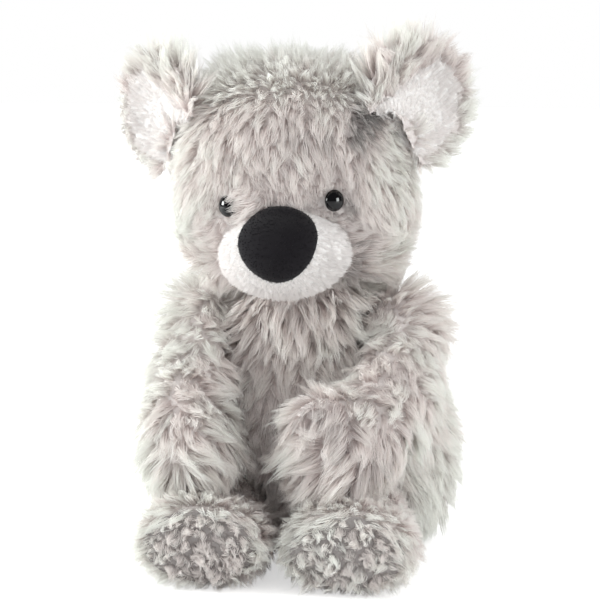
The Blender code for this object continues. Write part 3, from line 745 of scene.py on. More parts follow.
def pile_tree(name, locks, material, backing):
    """Plants locks on the mesh. They follow its comb, gather to common tips and end as one plain mesh."""
    tree = bpy.data.node_groups.new(name, "GeometryNodeTree")
    face = tree.interface
    face.new_socket("Geometry", in_out="INPUT", socket_type="NodeSocketGeometry")
    for label in TREE_INPUTS:
        face.new_socket(label, in_out="INPUT", socket_type="NodeSocketFloat")
    face.new_socket("Seed", in_out="INPUT", socket_type="NodeSocketInt")
    face.new_socket("Geometry", in_out="OUTPUT", socket_type="NodeSocketGeometry")
    given = tree.nodes.new("NodeGroupInput").outputs
    planted = add_node(tree, "GeometryNodeDistributePointsOnFaces", {
        "Mesh": given["Geometry"], "Distance Min": given["Spacing"], "Density Max": MOST_LOCKS,
        "Density Factor": named(tree, "cover"), "Seed": given["Seed"],
    }, distribute_method="POISSON")
    place = add_node(tree, "GeometryNodeInputPosition").outputs[0]

    # A clump is a cell of a Voronoi pattern. Its locks lean the same way and towards its middle.
    cells = add_node(tree, "ShaderNodeTexVoronoi", {
        "Vector": place, "Scale": number(tree, "DIVIDE", 1.0, given["Clump"]),
    }, voronoi_dimensions="3D", feature="F1").outputs
    lean = about_zero(tree, cells["Color"])
    turn = lock_turn(tree, given, place, planted.outputs["Normal"], cells, lean)
    toned = add_node(tree, "GeometryNodeStoreNamedAttribute", {
        "Geometry": planted.outputs["Points"], "Name": "tone", "Value": lock_tone(tree, given, place, lean),
    }, data_type="FLOAT", domain="POINT")
    wide = random_number(tree, 0.8, 1.2, 8)
    long = number(tree, "MULTIPLY", named(tree, "reach"), random_number(tree, 0.72, 1.12, 7))
    variants = add_node(tree, "GeometryNodeCollectionInfo", {
        "Collection": locks, "Separate Children": True, "Reset Children": True,
    })
    links = {4: 0, 5: LAST_PICK, "Seed": 3}
    pick = add_node(tree, "FunctionNodeRandomValue", links, data_type="INT").outputs[2]
    grown = add_node(tree, "GeometryNodeInstanceOnPoints", {
        "Points": toned.outputs[0], "Instance": variants.outputs[0], "Pick Instance": True,
        "Instance Index": pick, "Rotation": turn, "Scale": combined(tree, wide, wide, long),
    })
    real = add_node(tree, "GeometryNodeRealizeInstances", {"Geometry": grown.outputs[0]})
    own = add_node(tree, "ShaderNodeSeparateXYZ", {0: named(tree, PILE_MAP, "FLOAT_VECTOR")}).outputs
    across = add_node(tree, "ShaderNodeClamp", {
        "Value": number(tree, "ADD", own["X"], named(tree, "tone")), "Min": 0.01, "Max": 0.99,
    }).outputs[0]
    pressed = waved_and_pressed(tree, real.outputs[0], given, place, own["Y"])
    mapped = add_node(tree, "GeometryNodeStoreNamedAttribute", {
        "Geometry": pressed.outputs[0], "Name": PILE_MAP, "Value": combined(tree, across, own["Y"]),
    }, data_type="FLOAT2", domain="CORNER")
    furred = add_node(tree, "GeometryNodeSetMaterial", {"Geometry": mapped.outputs[0], "Material": material})
    under = add_node(tree, "GeometryNodeSetMaterial", {"Geometry": given["Geometry"], "Material": backing})
    both = add_node(tree, "GeometryNodeJoinGeometry")
    tree.links.new(under.outputs[0], both.inputs[0])
    tree.links.new(furred.outputs[0], both.inputs[0])
    out = tree.nodes.new("NodeGroupOutput")
    tree.links.new(both.outputs[0], out.inputs[0])
    return tree


def grow_pile(made, tree, values):
    """Runs the pile tree on a backing and returns the plain mesh that it makes."""
    modifier = made.modifiers.new("pile", "NODES")
    modifier.node_group = tree
    for item in tree.interface.items_tree:
        if item.in_out == "INPUT" and item.name.lower() in values:
            modifier[item.identifier] = values[item.name.lower()]
    return evaluated_copy(made.name, made)


# How the pile lies

SKINS = {
    "torso": ("torso_skin",),
    "head": ("head_skin", "muzzle"),
    "arm_left": ("arm_skin_left",),
    "arm_right": ("arm_skin_right",),
    "leg_left": ("leg_skin_left", "sole_left"),
    "leg_right": ("leg_skin_right", "sole_right"),
    "ear_left": ("ear_back_left",),
    "ear_right": ("ear_back_right",),
}
TOUCH_ROOM = 30 * MM  # how far a neighbour is looked for
TOUCHING = 0.5 * MM
FLOOR_ROOM = 4 * MM  # height over which the floor thins the pile
FLOOR_LIFT = 6 * MM  # height over which it lays the pile flat
EVEN_SHADE = 0.5


def store(mesh, name, values, kind="FLOAT"):
    layer = mesh.attributes.new(name, kind, "POINT")
    field = "vector" if kind == "FLOAT_VECTOR" else "value"
    layer.data.foreach_set(field, np.ascontiguousarray(values).ravel())


def lay(made, comb, reach, lift, cover, shade=0.0):
    """Stores how the pile lies on a backing, each measure for all its points or for each."""
    normals = normals_of(made)
    store(made.data, "comb", unit(comb - normals * (comb * normals).sum(1, keepdims=True)), "FLOAT_VECTOR")
    measures = {"reach": reach, "lift": lift, "cover": cover, "shade": EVEN_SHADE + shade}
    for name, values in measures.items():
        store(made.data, name, np.broadcast_to(values, len(normals)))


def dress(made, body, comb, reach, lift, shade=0.0, bare=None, meets=(), least=6 * MM):
    """Lays long pile. Where bare is true there is none.

    Near another body it is short, down to least, but not near those in meets, whose pile mingles with it.
    """
    places = places_of(made)
    sink = settings("pile").sink
    away = [other for other in SKINS if other != body and other not in meets]
    others = [node for other in away for node in SKINS[other]]
    room = room_above(places, normals_of(made), tree_of(*others), TOUCH_ROOM)
    free = np.clip(room - sink * 0.3, 0, None)
    held = np.minimum(reach, least + free * 1.5)
    over_floor = smooth_step(0, FLOOR_ROOM, places[:, 2] - sink)
    cover = np.where(free < TOUCHING, 0.8, 1.0) * at_least(0.3, over_floor)
    if bare is not None:
        cover = np.where(bare, 0.0, cover)
    lift = lift * at_least(0.35, np.clip(held / np.maximum(reach, MM), 0, 1))
    lift = lift * at_least(0.3, smooth_step(0.0, FLOOR_LIFT, places[:, 2]))
    lay(made, comb, held, lift, cover, shade)


MADE = {}


def shared(maker):
    """A material or lock collection that several pieces use, made once."""
    if maker not in MADE:
        MADE[maker] = maker()
    return MADE[maker]


def grow_piece(made, body, nodes, kit, values):
    """Grows a piece's pile from its kit: locks, material and backing. It rides on the body, for its nodes."""
    made = grow_pile(made, pile_tree(f"{made.name}_pile", *[shared(maker) for maker in kit]), values)
    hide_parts(*nodes)
    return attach(made, body)


def long_pile(made, body, nodes, seed_step, **changes):
    pile = settings("pile")
    values = dict(
        spacing=pile.spacing, clump=pile.clump, gather=0.65, wander=0.5, whorl=1.1, wave=7 * MM, mottle=0.3,
        seed=pile.seed + seed_step,
    )
    values.update(changes)
    return grow_piece(made, body, nodes, (long_locks, grey_pile, grey_backing), values)


def short_pile(made, body, nodes, slot, kit, **values):
    return grow_piece(made, body, nodes, kit, values)


# Torso

def lay_torso(made):
    """Down from the neck, outwards on the ledges, and long at the sides."""
    pile = settings("pile")
    places = places_of(made)
    height = places[:, 2]
    out = unit((places - middle_of("torso_skin")) * (1, 1, 0))
    ledge = smooth_step(0.0, 0.5, normals_of(made)[:, 2])[:, None]
    side = smooth_step(0.4, 0.9, np.abs(out[:, 0]))
    neck = smooth_step(105 * MM, 135 * MM, height)
    comb = (out * (0.25 + 1.2 * ledge) + (0, 0, -1.0)) * (1 - neck[:, None])
    comb += (out + (0, 0, -0.25)) * neck[:, None]
    collar = smooth_step(135 * MM, 150 * MM, height) * smooth_step(0.1, 0.7, out[:, 0])
    comb[:, 2] += 0.3 * collar
    reach = pile.length * (1 + 0.25 * side + 0.5 * neck + 0.5 * collar)
    # Under and behind the arms it is long, so it hides their sockets when they swing up.
    socket = smooth_step(-15 * MM, 15 * MM, places[:, 1] - joint_place("arm_swing_left")[1])
    least = (6 + 8 * socket) * MM
    # The sides are drawn paler, painted light where the side lamps fall on them.
    dress(made, "torso", comb, reach, 0.62 + 0.1 * side + 0.6 * neck, shade=0.3 * side, least=least)


class KOALA_OT_torso(bpy.types.Operator):
    """Pile of the torso, combed down from the neck"""

    bl_idname = "koala.torso"
    bl_label = "Torso"

    def execute(self, context):
        nodes = ("torso_skin", "torso_stuffing", "neck_stuffing")
        made = backing_of("torso", nodes, 3.5 * MM, 12, settings("pile").sink * 0.9)
        lay_torso(made)
        nodes += ("pellet_bag", "pellet_fill")
        long_pile(made, "torso", nodes, 0, clump=9 * MM, gather=0.8)
        return {"FINISHED"}


# Head

FACE_OVAL = (1, 0.8, 1)  # how distances from the nose are weighed
BRIDGE = np.array((10 * MM, 0, 1 * MM))  # the nose's bridge, from the right eye
BROW_MIDDLE = 8 * MM  # across, from the nose's middle
FOLD = np.array((46 * MM, 0.0, 250 * MM))  # fold in the pile before the left ear, painted dark as the shade in it
FOLD_DEPTH = 90 * MM  # how far behind the nose the fold ends


def face_comb(off):
    """Down the forehead to the nose, then out over the cheeks. off is measured from the nose's middle."""
    round_nose = np.degrees(np.arctan2(np.abs(off[:, 0]), off[:, 2]))
    swing = np.where(
        round_nose < 100, smooth_step(35, 95, round_nose) * 80, np.clip(180 - round_nose, 0, 80),
    )
    turned = np.radians(swing)
    return np.stack([np.sign(off[:, 0]) * np.sin(turned), np.full(len(off), -0.6), -np.cos(turned)], 1)


def lay_head(made):
    pile = settings("pile")
    places, normals = places_of(made), normals_of(made)
    nose, middle = middle_of("nose"), middle_of("head_skin")
    off = places - nose
    across, height = off[:, 0], off[:, 2]
    behind = smooth_step(45 * MM, 70 * MM, places[:, 1] - middle[1])[:, None]
    comb = face_comb(off) * (1 - behind) + np.array((0.0, 0.25, -1.0)) * behind

    # Shorter round the nose, the muzzle and the eyes.
    reach = pile.length * (0.58 + 0.42 * around(places, nose, 28 * MM, 62 * MM, FACE_OVAL))
    lift = 0.30 + 0.28 * around(places, nose, 30 * MM, 70 * MM, FACE_OVAL)
    for word in SIDES:
        clear = at_least(0.5, around(places, middle_of(f"eye_{word}"), 6 * MM, 18 * MM))
        reach = reach * clear
        lift = lift * clear

    # The bridge hides half of the right eye, and the ruff at the jaw hides the neck.
    bridge = around(places, middle_of("eye_right") + BRIDGE, 13 * MM, 7 * MM)
    jaw = smooth_step(-4 * MM, -16 * MM, places[:, 2] - middle_of("muzzle")[2])
    jaw = jaw * around(places, nose, 30 * MM, 50 * MM, FACE_OVAL)
    jowl = smooth_step(30 * MM, 50 * MM, across) * smooth_step(-2 * MM, -20 * MM, height)
    crown = smooth_step(30 * MM, 60 * MM, places[:, 2] - middle[2])
    corner = crown * smooth_step(15 * MM, 35 * MM, np.abs(places[:, 0] - middle[0]))
    upright = smooth_step(0.35, 1.0, normals[:, 2])
    comb = comb + np.outer(bridge, (-1.5, -0.5, 0.4)) + np.outer(jaw, (0, 0, -1.3))
    comb = comb + np.outer(jowl, (0.9, 0, -0.1)) + np.outer(corner, (0, 0, 1.2))
    reach = (reach + 6 * MM * bridge) * (1 + 0.45 * jaw + 0.15 * crown + 0.4 * corner + 0.3 * jowl)
    lift = lift + 0.5 * bridge + 0.3 * jaw + 0.4 * jowl - 0.28 * crown + 0.25 * corner + 1.2 * upright

    # Round the ears' seams it lies up and outwards, over the ears' feet.
    for word, sign in SIDES.items():
        foot = around(places, joint_place(f"ear_flex_{word}"), 34 * MM, 16 * MM)
        comb = comb * (1 - 0.6 * foot[:, None]) + np.outer(foot, (0.8 * sign, -0.3, 0.5))
        lift = lift + 0.2 * foot

    # Painted light and shade: the crown and the cheeks are drawn paler where the light falls on them, the brow
    # darker, and the fold before the left ear darker still for the shade in it.
    painted_brow_shade = smooth_step(50 * MM, 20 * MM, np.abs(across - BROW_MIDDLE)) * (1 - crown)
    painted_cheek_light = smooth_step(30 * MM, 55 * MM, np.abs(across))
    painted_fold_shade = around(places, FOLD, 14 * MM, 4 * MM, (1, 0, 0.8)) * (off[:, 1] < FOLD_DEPTH)
    shade = 0.45 * crown + 0.22 * painted_cheek_light - 0.14 * painted_brow_shade
    shade = shade - painted_fold_shade * np.random.default_rng(6).uniform(0.2, 1.3, len(places))
    trim = tree_of("muzzle", "nose", "eye_left", "eye_right")
    bare = covered(places, normals, trim, 1.99 * pile.sink)
    dress(made, "head", comb, reach, lift, shade=shade, bare=bare, meets=("ear_left", "ear_right"))
    swell(made, 2 * MM * crown + 2 * MM * corner + pile.sink * 0.6 * bridge)


class KOALA_OT_head(bpy.types.Operator):
    """Pile of the head: down the forehead to the nose, out over the cheeks"""

    bl_idname = "koala.head"
    bl_label = "Head"

    def execute(self, context):
        nodes = ("head_skin", "head_stuffing")
        made = backing_of("head", nodes, 3.2 * MM, 5, settings("pile").sink)
        lay_head(made)
        long_pile(made, "head", nodes, 1, whorl=0.5, wave=4.5 * MM, gather=0.45)
        return {"FINISHED"}


# Ears

EAR_SHARE = {"left": 0.97, "right": 0.95}  # the backings' size against the solids', which their pile reaches
EAR_SHIFT = {"left": (2.5 * MM, 0, -2 * MM), "right": (-1.5 * MM, 0, 1.5 * MM)}
EAR_FRINGE = {"left": 0.0, "right": -0.4}  # change of the outer rim's pile, as a share of the pile's length
LINING_DIP = 6 * MM
CUP_REACH = 4.49 * MM  # how near the lining lies over the cup's bare backing


def ear_sides(word, places):
    """How far each place lies on the ear's upper inner part, and on its outer rim, each from 0 to 1."""
    off = places - middle_of(f"ear_back_{word}")
    away = off[:, 0] * SIDES[word]
    inner = smooth_step(-1 * MM, 5 * MM, 0.75 * off[:, 2] - 0.66 * away - 13 * MM)
    inner = np.maximum(inner, around(places, joint_place(f"ear_flex_{word}"), 14 * MM, 9 * MM))
    outer = smooth_step(8 * MM, 26 * MM, away - 0.5 * off[:, 2])
    return inner, outer


def draw_in(made, word):
    """Draws an ear's mesh in towards its seam and shifts it."""
    seam = joint_place(f"ear_flex_{word}")
    move_to(made, seam + (places_of(made) - seam) * EAR_SHARE[word] + EAR_SHIFT[word])


def lining_backing(word):
    """The lining's backing. It dips behind the ear's own backing where grey pile covers the cup."""
    made = backing_of(f"lining_{word}", (f"ear_lining_{word}",), 1.8 * MM, 2, 0.4 * MM)
    places = places_of(made)
    inner, _ = ear_sides(word, places)
    flat = np.linalg.svd(places - places.mean(0), full_matrices=False)[2][2]
    move_to(made, places + flat * np.sign(flat[1]) * inner[:, None] * LINING_DIP)
    return made


def lay_ear(made, word):
    """From the seam outwards. A tuft on the upper inner part hangs towards the head."""
    places, normals = places_of(made), normals_of(made)
    sign = SIDES[word]
    inner, outer = ear_sides(word, places)
    away = (places[:, 0] - middle_of(f"ear_back_{word}")[0]) * sign
    tuft = smooth_step(0.1, 0.7, normals[:, 2] - 0.7 * normals[:, 0] * sign)
    tuft = tuft * smooth_step(14 * MM, -6 * MM, away)
    comb = unit(places - joint_place(f"ear_flex_{word}")) + np.outer(tuft, (-0.6 * sign, 0, 0.3))
    reach = settings("pile").length * (0.8 + 0.2 * inner + 0.55 * tuft + EAR_FRINGE[word] * outer)
    cup = tree_instead(lining_backing(word))
    bare = covered(places, normals, cup, CUP_REACH) & (inner < 0.5)
    shade = 0.18 + 0.3 * outer
    dress(made, f"ear_{word}", comb, reach, 0.4 + 0.35 * tuft, shade=shade, bare=bare, meets=("head",))
    draw_in(made, word)


class KOALA_OT_ears(bpy.types.Operator):
    """Pile on the ears' backs and rims, combed from the seam outwards"""

    bl_idname = "koala.ears"
    bl_label = "Ears"

    def execute(self, context):
        spacing = settings("pile").spacing * 0.9
        for word in SIDES:
            back = f"ear_back_{word}"
            made = backing_of(f"ear_{word}", (back, f"ear_lining_{word}"), 2.2 * MM, 3, 1.5 * MM)
            lay_ear(made, word)
            long_pile(made, f"ear_{word}", (back,), 2, spacing=spacing, clump=9 * MM, gather=0.9)
        return {"FINISHED"}


# Arms

PAW_CORNER = np.array((20 * MM, -76 * MM, 106 * MM))  # the left paw is full here
PAW_HOLLOW = np.array((6 * MM, -82 * MM, 74 * MM))  # and thin here
ARM_PAINTED_LIGHT = {"left": 0.15, "right": 0.5}  # painted light: how much paler each arm is drawn, most on its outer side, where the side lamps fall


def lay_arm(made, word):
    """Along the arm, upwards on the shoulder, and spread from the middle of the paw."""
    places = places_of(made)
    shoulder = joint_place(f"arm_swing_{word}")
    low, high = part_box(f"arm_skin_{word}")
    paw = np.array(((low.x + high.x) / 2, low.y, low.z))
    length = np.linalg.norm(paw - shoulder)
    out = unit((places - middle_of(f"arm_skin_{word}")) * (1, 1, 0))
    along = unit((paw - shoulder)[None])[0]
    travelled = (places - shoulder) @ along / length
    hand = smooth_step(0.45, 0.85, travelled)
    top = smooth_step(0.10, -0.15, travelled)
    palm = shoulder + along * length * 0.72
    comb = along * 0.4 + out * 0.45 + np.array((0, 0, -0.8)) + np.outer(top, (SIDES[word] * 0.3, -0.2, 1.0))
    comb += unit((places - palm) * (1, 0, 1)) * hand[:, None] * 0.8
    under = smooth_step(0.2, -0.6, normals_of(made)[:, 2])
    reach = settings("pile").length * (1 + 0.25 * hand + 0.7 * top + 0.45 * under)
    reach = reach * (1 - 0.45 * around(places, PAW_HOLLOW, 22 * MM, 8 * MM))
    # Painted light: the outer side is drawn paler where the side lamps fall on it.
    outer = smooth_step(-0.2, 0.8, out[:, 0] * SIDES[word])
    shade = ARM_PAINTED_LIGHT[word] * (0.2 + outer)
    dress(made, f"arm_{word}", comb, reach, 0.6 + 0.45 * top + 0.15 * hand, shade=shade)
    swell(made, 4 * MM * hand + 2 * MM * top)
    pull(made, PAW_CORNER, 0.5 * around(places, PAW_CORNER, 44 * MM, 22 * MM))


class KOALA_OT_arms(bpy.types.Operator):
    """Pile of the arms, combed along them to the paws"""

    bl_idname = "koala.arms"
    bl_label = "Arms"

    def execute(self, context):
        for word in SIDES:
            nodes = (f"arm_skin_{word}", f"arm_stuffing_{word}")
            made = backing_of(f"arm_{word}", nodes, 3.0 * MM, 5, settings("pile").sink)
            lay_arm(made, word)
            long_pile(made, f"arm_{word}", nodes, 3, whorl=1.6, clump=11 * MM, gather=1.1, wander=1.0)
        return {"FINISHED"}


# Legs and soles

CURLED_SHARE = 0.72  # size of the curled patch against the sole's solid
CURL_ROW = 5.0 * MM  # height of one row of curls
ROW_DRIFT = 7 * MM  # how far the rows wander
DRIFT_SCALE = 70  # of the noise that moves them


def sole_share(word, places):
    """How far each place is from the middle of the sole's curled patch, as a share of its oval outline."""
    low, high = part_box(f"sole_{word}")
    off = (places - np.array((low + high) / 2)) / np.array((high - low) / 2)
    return np.hypot(off[:, 0], off[:, 2]) / CURLED_SHARE


def lay_leg(made, word):
    """Along the leg, and outwards round the sole."""
    places = places_of(made)
    sole = middle_of(f"sole_{word}")
    out = unit((places - middle_of(f"leg_skin_{word}")) * (1, 0, 1))
    toe = smooth_step(24 * MM, 6 * MM, places[:, 1] - sole[1])
    comb = out * (0.25 + toe[:, None] * 0.6) + np.array((0, -1.0, -0.2))
    reach = settings("pile").length * (0.95 + 0.2 * toe)
    bare = (sole_share(word, places) < 1) & (places[:, 1] < sole[1] + 8 * MM)
    dress(made, f"leg_{word}", comb, reach, 0.6 + 0.2 * toe, shade=0.3 * toe, bare=bare)


class KOALA_OT_legs(bpy.types.Operator):
    """Pile of the legs, combed along them to the soles' edges"""

    bl_idname = "koala.legs"
    bl_label = "Legs"

    def execute(self, context):
        for word in SIDES:
            nodes = (f"leg_skin_{word}", f"leg_stuffing_{word}")
            made = backing_of(
                f"leg_{word}", nodes + (f"sole_{word}",), 3.0 * MM, 5, settings("pile").sink * 0.8,
            )
            lay_leg(made, word)
            long_pile(made, f"leg_{word}", nodes, 4, whorl=1.4)
        return {"FINISHED"}


def lay_sole(made, word):
    """In wavy rows of curls. Each row falls over the crease below it."""
    places = places_of(made)
    drift = np.array([noise.noise(Vector(place) * DRIFT_SCALE) for place in places])
    row = (places[:, 2] + 0.25 * places[:, 0] + ROW_DRIFT * drift) / CURL_ROW
    ridge = smooth_step(0.05, 0.35, np.abs(np.sin(math.pi * row)))
    comb = np.stack([0.3 + 1.2 * drift, np.zeros(len(places)), np.full(len(places), -1.0)], 1)
    patch = (normals_of(made)[:, 1] < 0) & (sole_share(word, places) < 1.08)
    # In the creases the cover thins, so the backing's painted shade shows there.
    cover = np.where(patch, at_least(0.3, ridge), 0.0)
    lay(made, comb, settings("pile").length * (0.28 + 0.22 * ridge), 0.9, cover, 0.1)


class KOALA_OT_soles(bpy.types.Operator):
    """Crushed, curled pile of the soles"""

    bl_idname = "koala.soles"
    bl_label = "Soles"

    def execute(self, context):
        pile = settings("pile")
        for word in SIDES:
            made = backing_of(f"sole_pile_{word}", (f"sole_{word}",), 1.3 * MM, 6, 1.5 * MM)
            lay_sole(made, word)
            short_pile(
                made, f"leg_{word}", (f"sole_{word}",), "curled_pile", (curls, curled_pile, crease_shade_backing),
                spacing=pile.spacing * 0.7, clump=7.5 * MM, gather=1.5, wander=0.6, whorl=0.8, wave=3 * MM,
                mottle=0.3, seed=pile.seed + 5,
            )
        return {"FINISHED"}


# Muzzle and linings

WHITE_KIT = (short_tufts, white_pile, white_backing)
SEAT_REACH = 7.99 * MM  # how near the head's skin lies over the muzzle's sewn edge


def muzzle_backing():
    """The part of the muzzle's backing in front of the head's, with the nose's seat under the nose."""
    made = backing_of("muzzle_pile", ("muzzle", "head_stuffing"), 2.2 * MM, 3, 1.5 * MM)
    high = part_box("muzzle")[1]
    bm = bmesh.new()
    bm.from_mesh(made.data)
    cut = [v for v in bm.verts if v.co.y > high.y - 4 * MM or v.co.z > high.z + 2 * MM]
    bmesh.ops.delete(bm, geom=cut, context="VERTS")
    bm.to_mesh(made.data)
    bm.free()
    return made


class KOALA_OT_muzzle(bpy.types.Operator):
    """White short-pile muzzle"""

    bl_idname = "koala.muzzle"
    bl_label = "Muzzle"

    def execute(self, context):
        trim = settings("trim")
        made = muzzle_backing()
        places, normals = places_of(made), normals_of(made)
        nose = middle_of("nose")
        hidden = covered(places, normals, tree_of("head_skin"), SEAT_REACH) | (nose_share(places) < 0.98)
        edge = around(places, nose, 20 * MM, 34 * MM, (1, 0.5, 1))
        reach = trim.short_length * (1.2 + 1.5 * edge)
        # The side away from the light keeps some shade.
        shade = 0.32 - 0.3 * smooth_step(0.0, 0.6, normals[:, 0])
        lay(made, places - nose, reach, 0.25 + 0.2 * edge, np.where(hidden, 0.0, 1.0), shade)
        short_pile(
            made, "head", ("muzzle",), "short_pile", WHITE_KIT, spacing=trim.short_spacing * 0.9,
            clump=5 * MM, gather=0.0, wander=0.0, whorl=0.5, wave=0.0, mottle=0.0, seed=9,
        )
        return {"FINISHED"}


class KOALA_OT_linings(bpy.types.Operator):
    """White short-pile ear linings"""

    bl_idname = "koala.linings"
    bl_label = "Ear linings"

    def execute(self, context):
        trim = settings("trim")
        for word in SIDES:
            made = lining_backing(word)
            places = places_of(made)
            inner, _ = ear_sides(word, places)
            rim = around(places, middle_of(f"ear_lining_{word}"), 12 * MM, 24 * MM)
            draw_in(made, word)
            comb = places - joint_place(f"ear_flex_{word}")
            lay(made, comb, trim.short_length * (1.4 + 1.2 * rim), 0.45, np.where(inner < 0.5, 1.0, 0.0), 0.3)
            short_pile(
                made, f"ear_{word}", (f"ear_lining_{word}",), "short_pile", WHITE_KIT,
                spacing=trim.short_spacing, clump=6 * MM, gather=0.2, wander=0.1, whorl=0.6, wave=1 * MM,
                mottle=0.0, seed=10,
            )
        return {"FINISHED"}


# Nose

NOSE_WIDTH = 43.5 * MM
NOSE_HEIGHT = 42.0 * MM
NOSE_THICK = 5.0 * MM
NOSE_BACK = -1.5 * MM  # its back, under the muzzle's surface
NOSE_TAPER = 0.10
NOSE_TILT = math.radians(14)
NOSE_RINGS = 14
NOSE_TURNS = 56


def nose_frame():
    """Middle, left, outward and up directions of the nose, which looks a little upwards."""
    left = (Vector(middle_of("eye_left")) - Vector(middle_of("eye_right"))).normalized()
    out = left.cross(UP).normalized()
    up = out.cross(left)
    tilt, rise = math.cos(NOSE_TILT), math.sin(NOSE_TILT)
    return Vector(middle_of("nose")), left, out * tilt + up * rise, up * tilt - out * rise


def nose_share(places):
    """How far each place is from the nose's middle, as a share of its outline."""
    middle, left, _, up = nose_frame()
    across = (places - np.array(middle)) @ np.array(left)
    height = (places - np.array(middle)) @ np.array(up)
    across = across / (NOSE_WIDTH / 2 * (1 + NOSE_TAPER * height / (NOSE_HEIGHT / 2)))
    return np.hypot(across, height / (NOSE_HEIGHT / 2))


def nose_ring(bm, under, share, rise):
    """A ring of the nose's outline at this share of its size, above the muzzle that lies under it."""
    middle, left, out, up = nose_frame()
    ring = []
    for i in range(NOSE_TURNS if share else 1):
        angle = 2 * math.pi * i / NOSE_TURNS
        height = NOSE_HEIGHT / 2 * share * math.cos(angle)
        across = NOSE_WIDTH / 2 * share * math.sin(angle) * (1 + NOSE_TAPER * share * math.cos(angle))
        spot = middle + left * across + up * height
        hit = under.ray_cast(spot + out * 40 * MM, -out)[0]
        ring.append(bm.verts.new(hit + out * rise))
    return ring


def nose_pad():
    """An egg-shaped domed pad that follows the muzzle under it."""
    under = tree_instead(backing_of("nose_base", ("muzzle", "head_skin"), 2.2 * MM, 6, 0.6 * MM))
    shares = [k / NOSE_RINGS for k in range(NOSE_RINGS + 1)]
    bm = bmesh.new()
    front = [nose_ring(bm, under, share, NOSE_THICK * (1 - share ** 3) ** 0.55) for share in shares]
    back = [nose_ring(bm, under, share, NOSE_BACK) for share in shares]
    for rings in (front, back):
        for ring, after in zip(rings, rings[1:]):
            join_rings(bm, ring, after)
    join_rings(bm, front[-1], back[-1])
    return closed_object("nose_pad", bm)


class KOALA_OT_nose(bpy.types.Operator):
    """Black velour nose"""

    bl_idname = "koala.nose"
    bl_label = "Nose"

    def execute(self, context):
        made = nose_pad()
        lay(made, places_of(made) - middle_of("nose"), settings("trim").velour_length, 1.0, 1.0)
        short_pile(
            made, "head", ("nose",), "velour", (velour_tufts, velour_material, velour_material),
            spacing=0.75 * MM, clump=4 * MM, gather=0.0, wander=0.3, whorl=0.3, wave=0.0, mottle=0.0, seed=12,
        )
        return {"FINISHED"}


# Eyes

EYE_TURNS = 40
DOME_STEPS = 12
STEM_SHARE = 0.33  # the stem's thickness against the eye's
DOME_SHARE = 0.93  # the dome's width against the rim's
RIM_HEIGHT = 0.9 * MM


def eye_profile(radius, depth, dome):
    """An eye as (reach, height) pairs: its stem, its thin moulded rim and its dome, whose top is at 0."""
    stem = radius * STEM_SHARE
    profile = [(0.0, -depth), (stem, -depth), (stem, -dome), (radius * 0.97, -dome)]
    profile += [(radius, -dome + 0.35 * MM), (radius * 0.985, -dome + 0.8 * MM)]
    low = -dome + RIM_HEIGHT
    for k in range(DOME_STEPS):
        angle = math.pi / 2 * k / DOME_STEPS
        profile.append((radius * DOME_SHARE * math.cos(angle), low - low * math.sin(angle)))
    return profile + [(0.0, 0.0)]


def eye_ring(bm, reach, height):
    angles = [2 * math.pi * i / EYE_TURNS for i in range(EYE_TURNS if reach else 1)]
    return [bm.verts.new((reach * math.cos(angle), reach * math.sin(angle), height)) for angle in angles]


def eye_dome(word):
    """A round eye in place of its many-sided solid, whose stem's end and dome's top lie farthest apart."""
    points = places_of(frame["nodes"][f"eye_{word}"])
    middle = points.mean(0)
    axis = np.linalg.svd(points - middle)[2][0]
    axis = axis * -np.sign(axis[1])
    along = (points - middle) @ axis
    radial = np.linalg.norm((points - middle) - np.outer(along, axis), axis=1)
    radius = radial.max()
    base = along[radial > radius * 0.98].min()
    bm = bmesh.new()
    profile = eye_profile(radius, along.max() - along.min(), along.max() - base)
    rings = [eye_ring(bm, reach, height) for reach, height in profile]
    for ring, after in zip(rings, rings[1:]):
        join_rings(bm, ring, after)
    turn = Vector(axis).to_track_quat("Z", "Y").to_matrix().to_4x4()
    top = Vector(middle + axis * along.max())
    bmesh.ops.transform(bm, matrix=Matrix.Translation(top) @ turn, verts=bm.verts)
    return closed_object(f"eye_dome_{word}", bm)


class KOALA_OT_eyes(bpy.types.Operator):
    """Domed black eyes and the finish of their washers"""

    bl_idname = "koala.eyes"
    bl_label = "Eyes"

    def execute(self, context):
        for word in SIDES:
            made = eye_dome(word)
            made.data.materials.append(shared(eye_material))
            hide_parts(f"eye_{word}")
            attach(made, "head")
            washer = frame["nodes"][f"eye_washer_{word}"].data
            washer.materials.clear()
            washer.materials.append(shared(washer_material))
        return {"FINISHED"}


# Stage

WHITE = (1, 1, 1, 1)
BOX_SIZE = 0.45  # metres
BOX_AWAY = 1.4  # metres
BOX_COLOUR = (0.96, 1.0, 0.98)
FLOOR_SIZE = 8.0  # metres
GLOSSY_SHARE = 0.12  # of the even light, where the eyes mirror it, so they stay black


def direction(azimuth, elevation):
    """Unit vector towards a point at this azimuth, measured from -Y towards +X, and elevation."""
    return Vector((
        math.sin(azimuth) * math.cos(elevation), -math.cos(azimuth) * math.cos(elevation), math.sin(elevation),
    ))


def place_facing(name, data, target, away):
    """Puts a lamp or camera away from its target, looking at it."""
    holder = bpy.data.objects.new(name, data)
    holder.location = target + away
    holder.rotation_euler = (-away).to_track_quat("-Z", "Y").to_euler()
    bpy.context.scene.collection.objects.link(holder)
    return holder


def paper_material():
    """White paper floor, lifted towards the background's white where the camera sees it."""
    made, tree, output = new_material("white_paper_floor")
    seen = add_node(tree, "ShaderNodeLightPath").outputs["Is Camera Ray"]
    paper = add_node(tree, "ShaderNodeBsdfDiffuse", {"Color": (0.8, 0.8, 0.8, 1)}).outputs[0]
    glow = add_node(tree, "ShaderNodeEmission", {"Color": WHITE, "Strength": 0.55}).outputs[0]
    both = add_node(tree, "ShaderNodeAddShader", {0: paper, 1: glow}).outputs[0]
    mixed = add_node(tree, "ShaderNodeMixShader", {0: seen, 1: paper, 2: both})
    tree.links.new(mixed.outputs[0], output.inputs["Surface"])
    return made


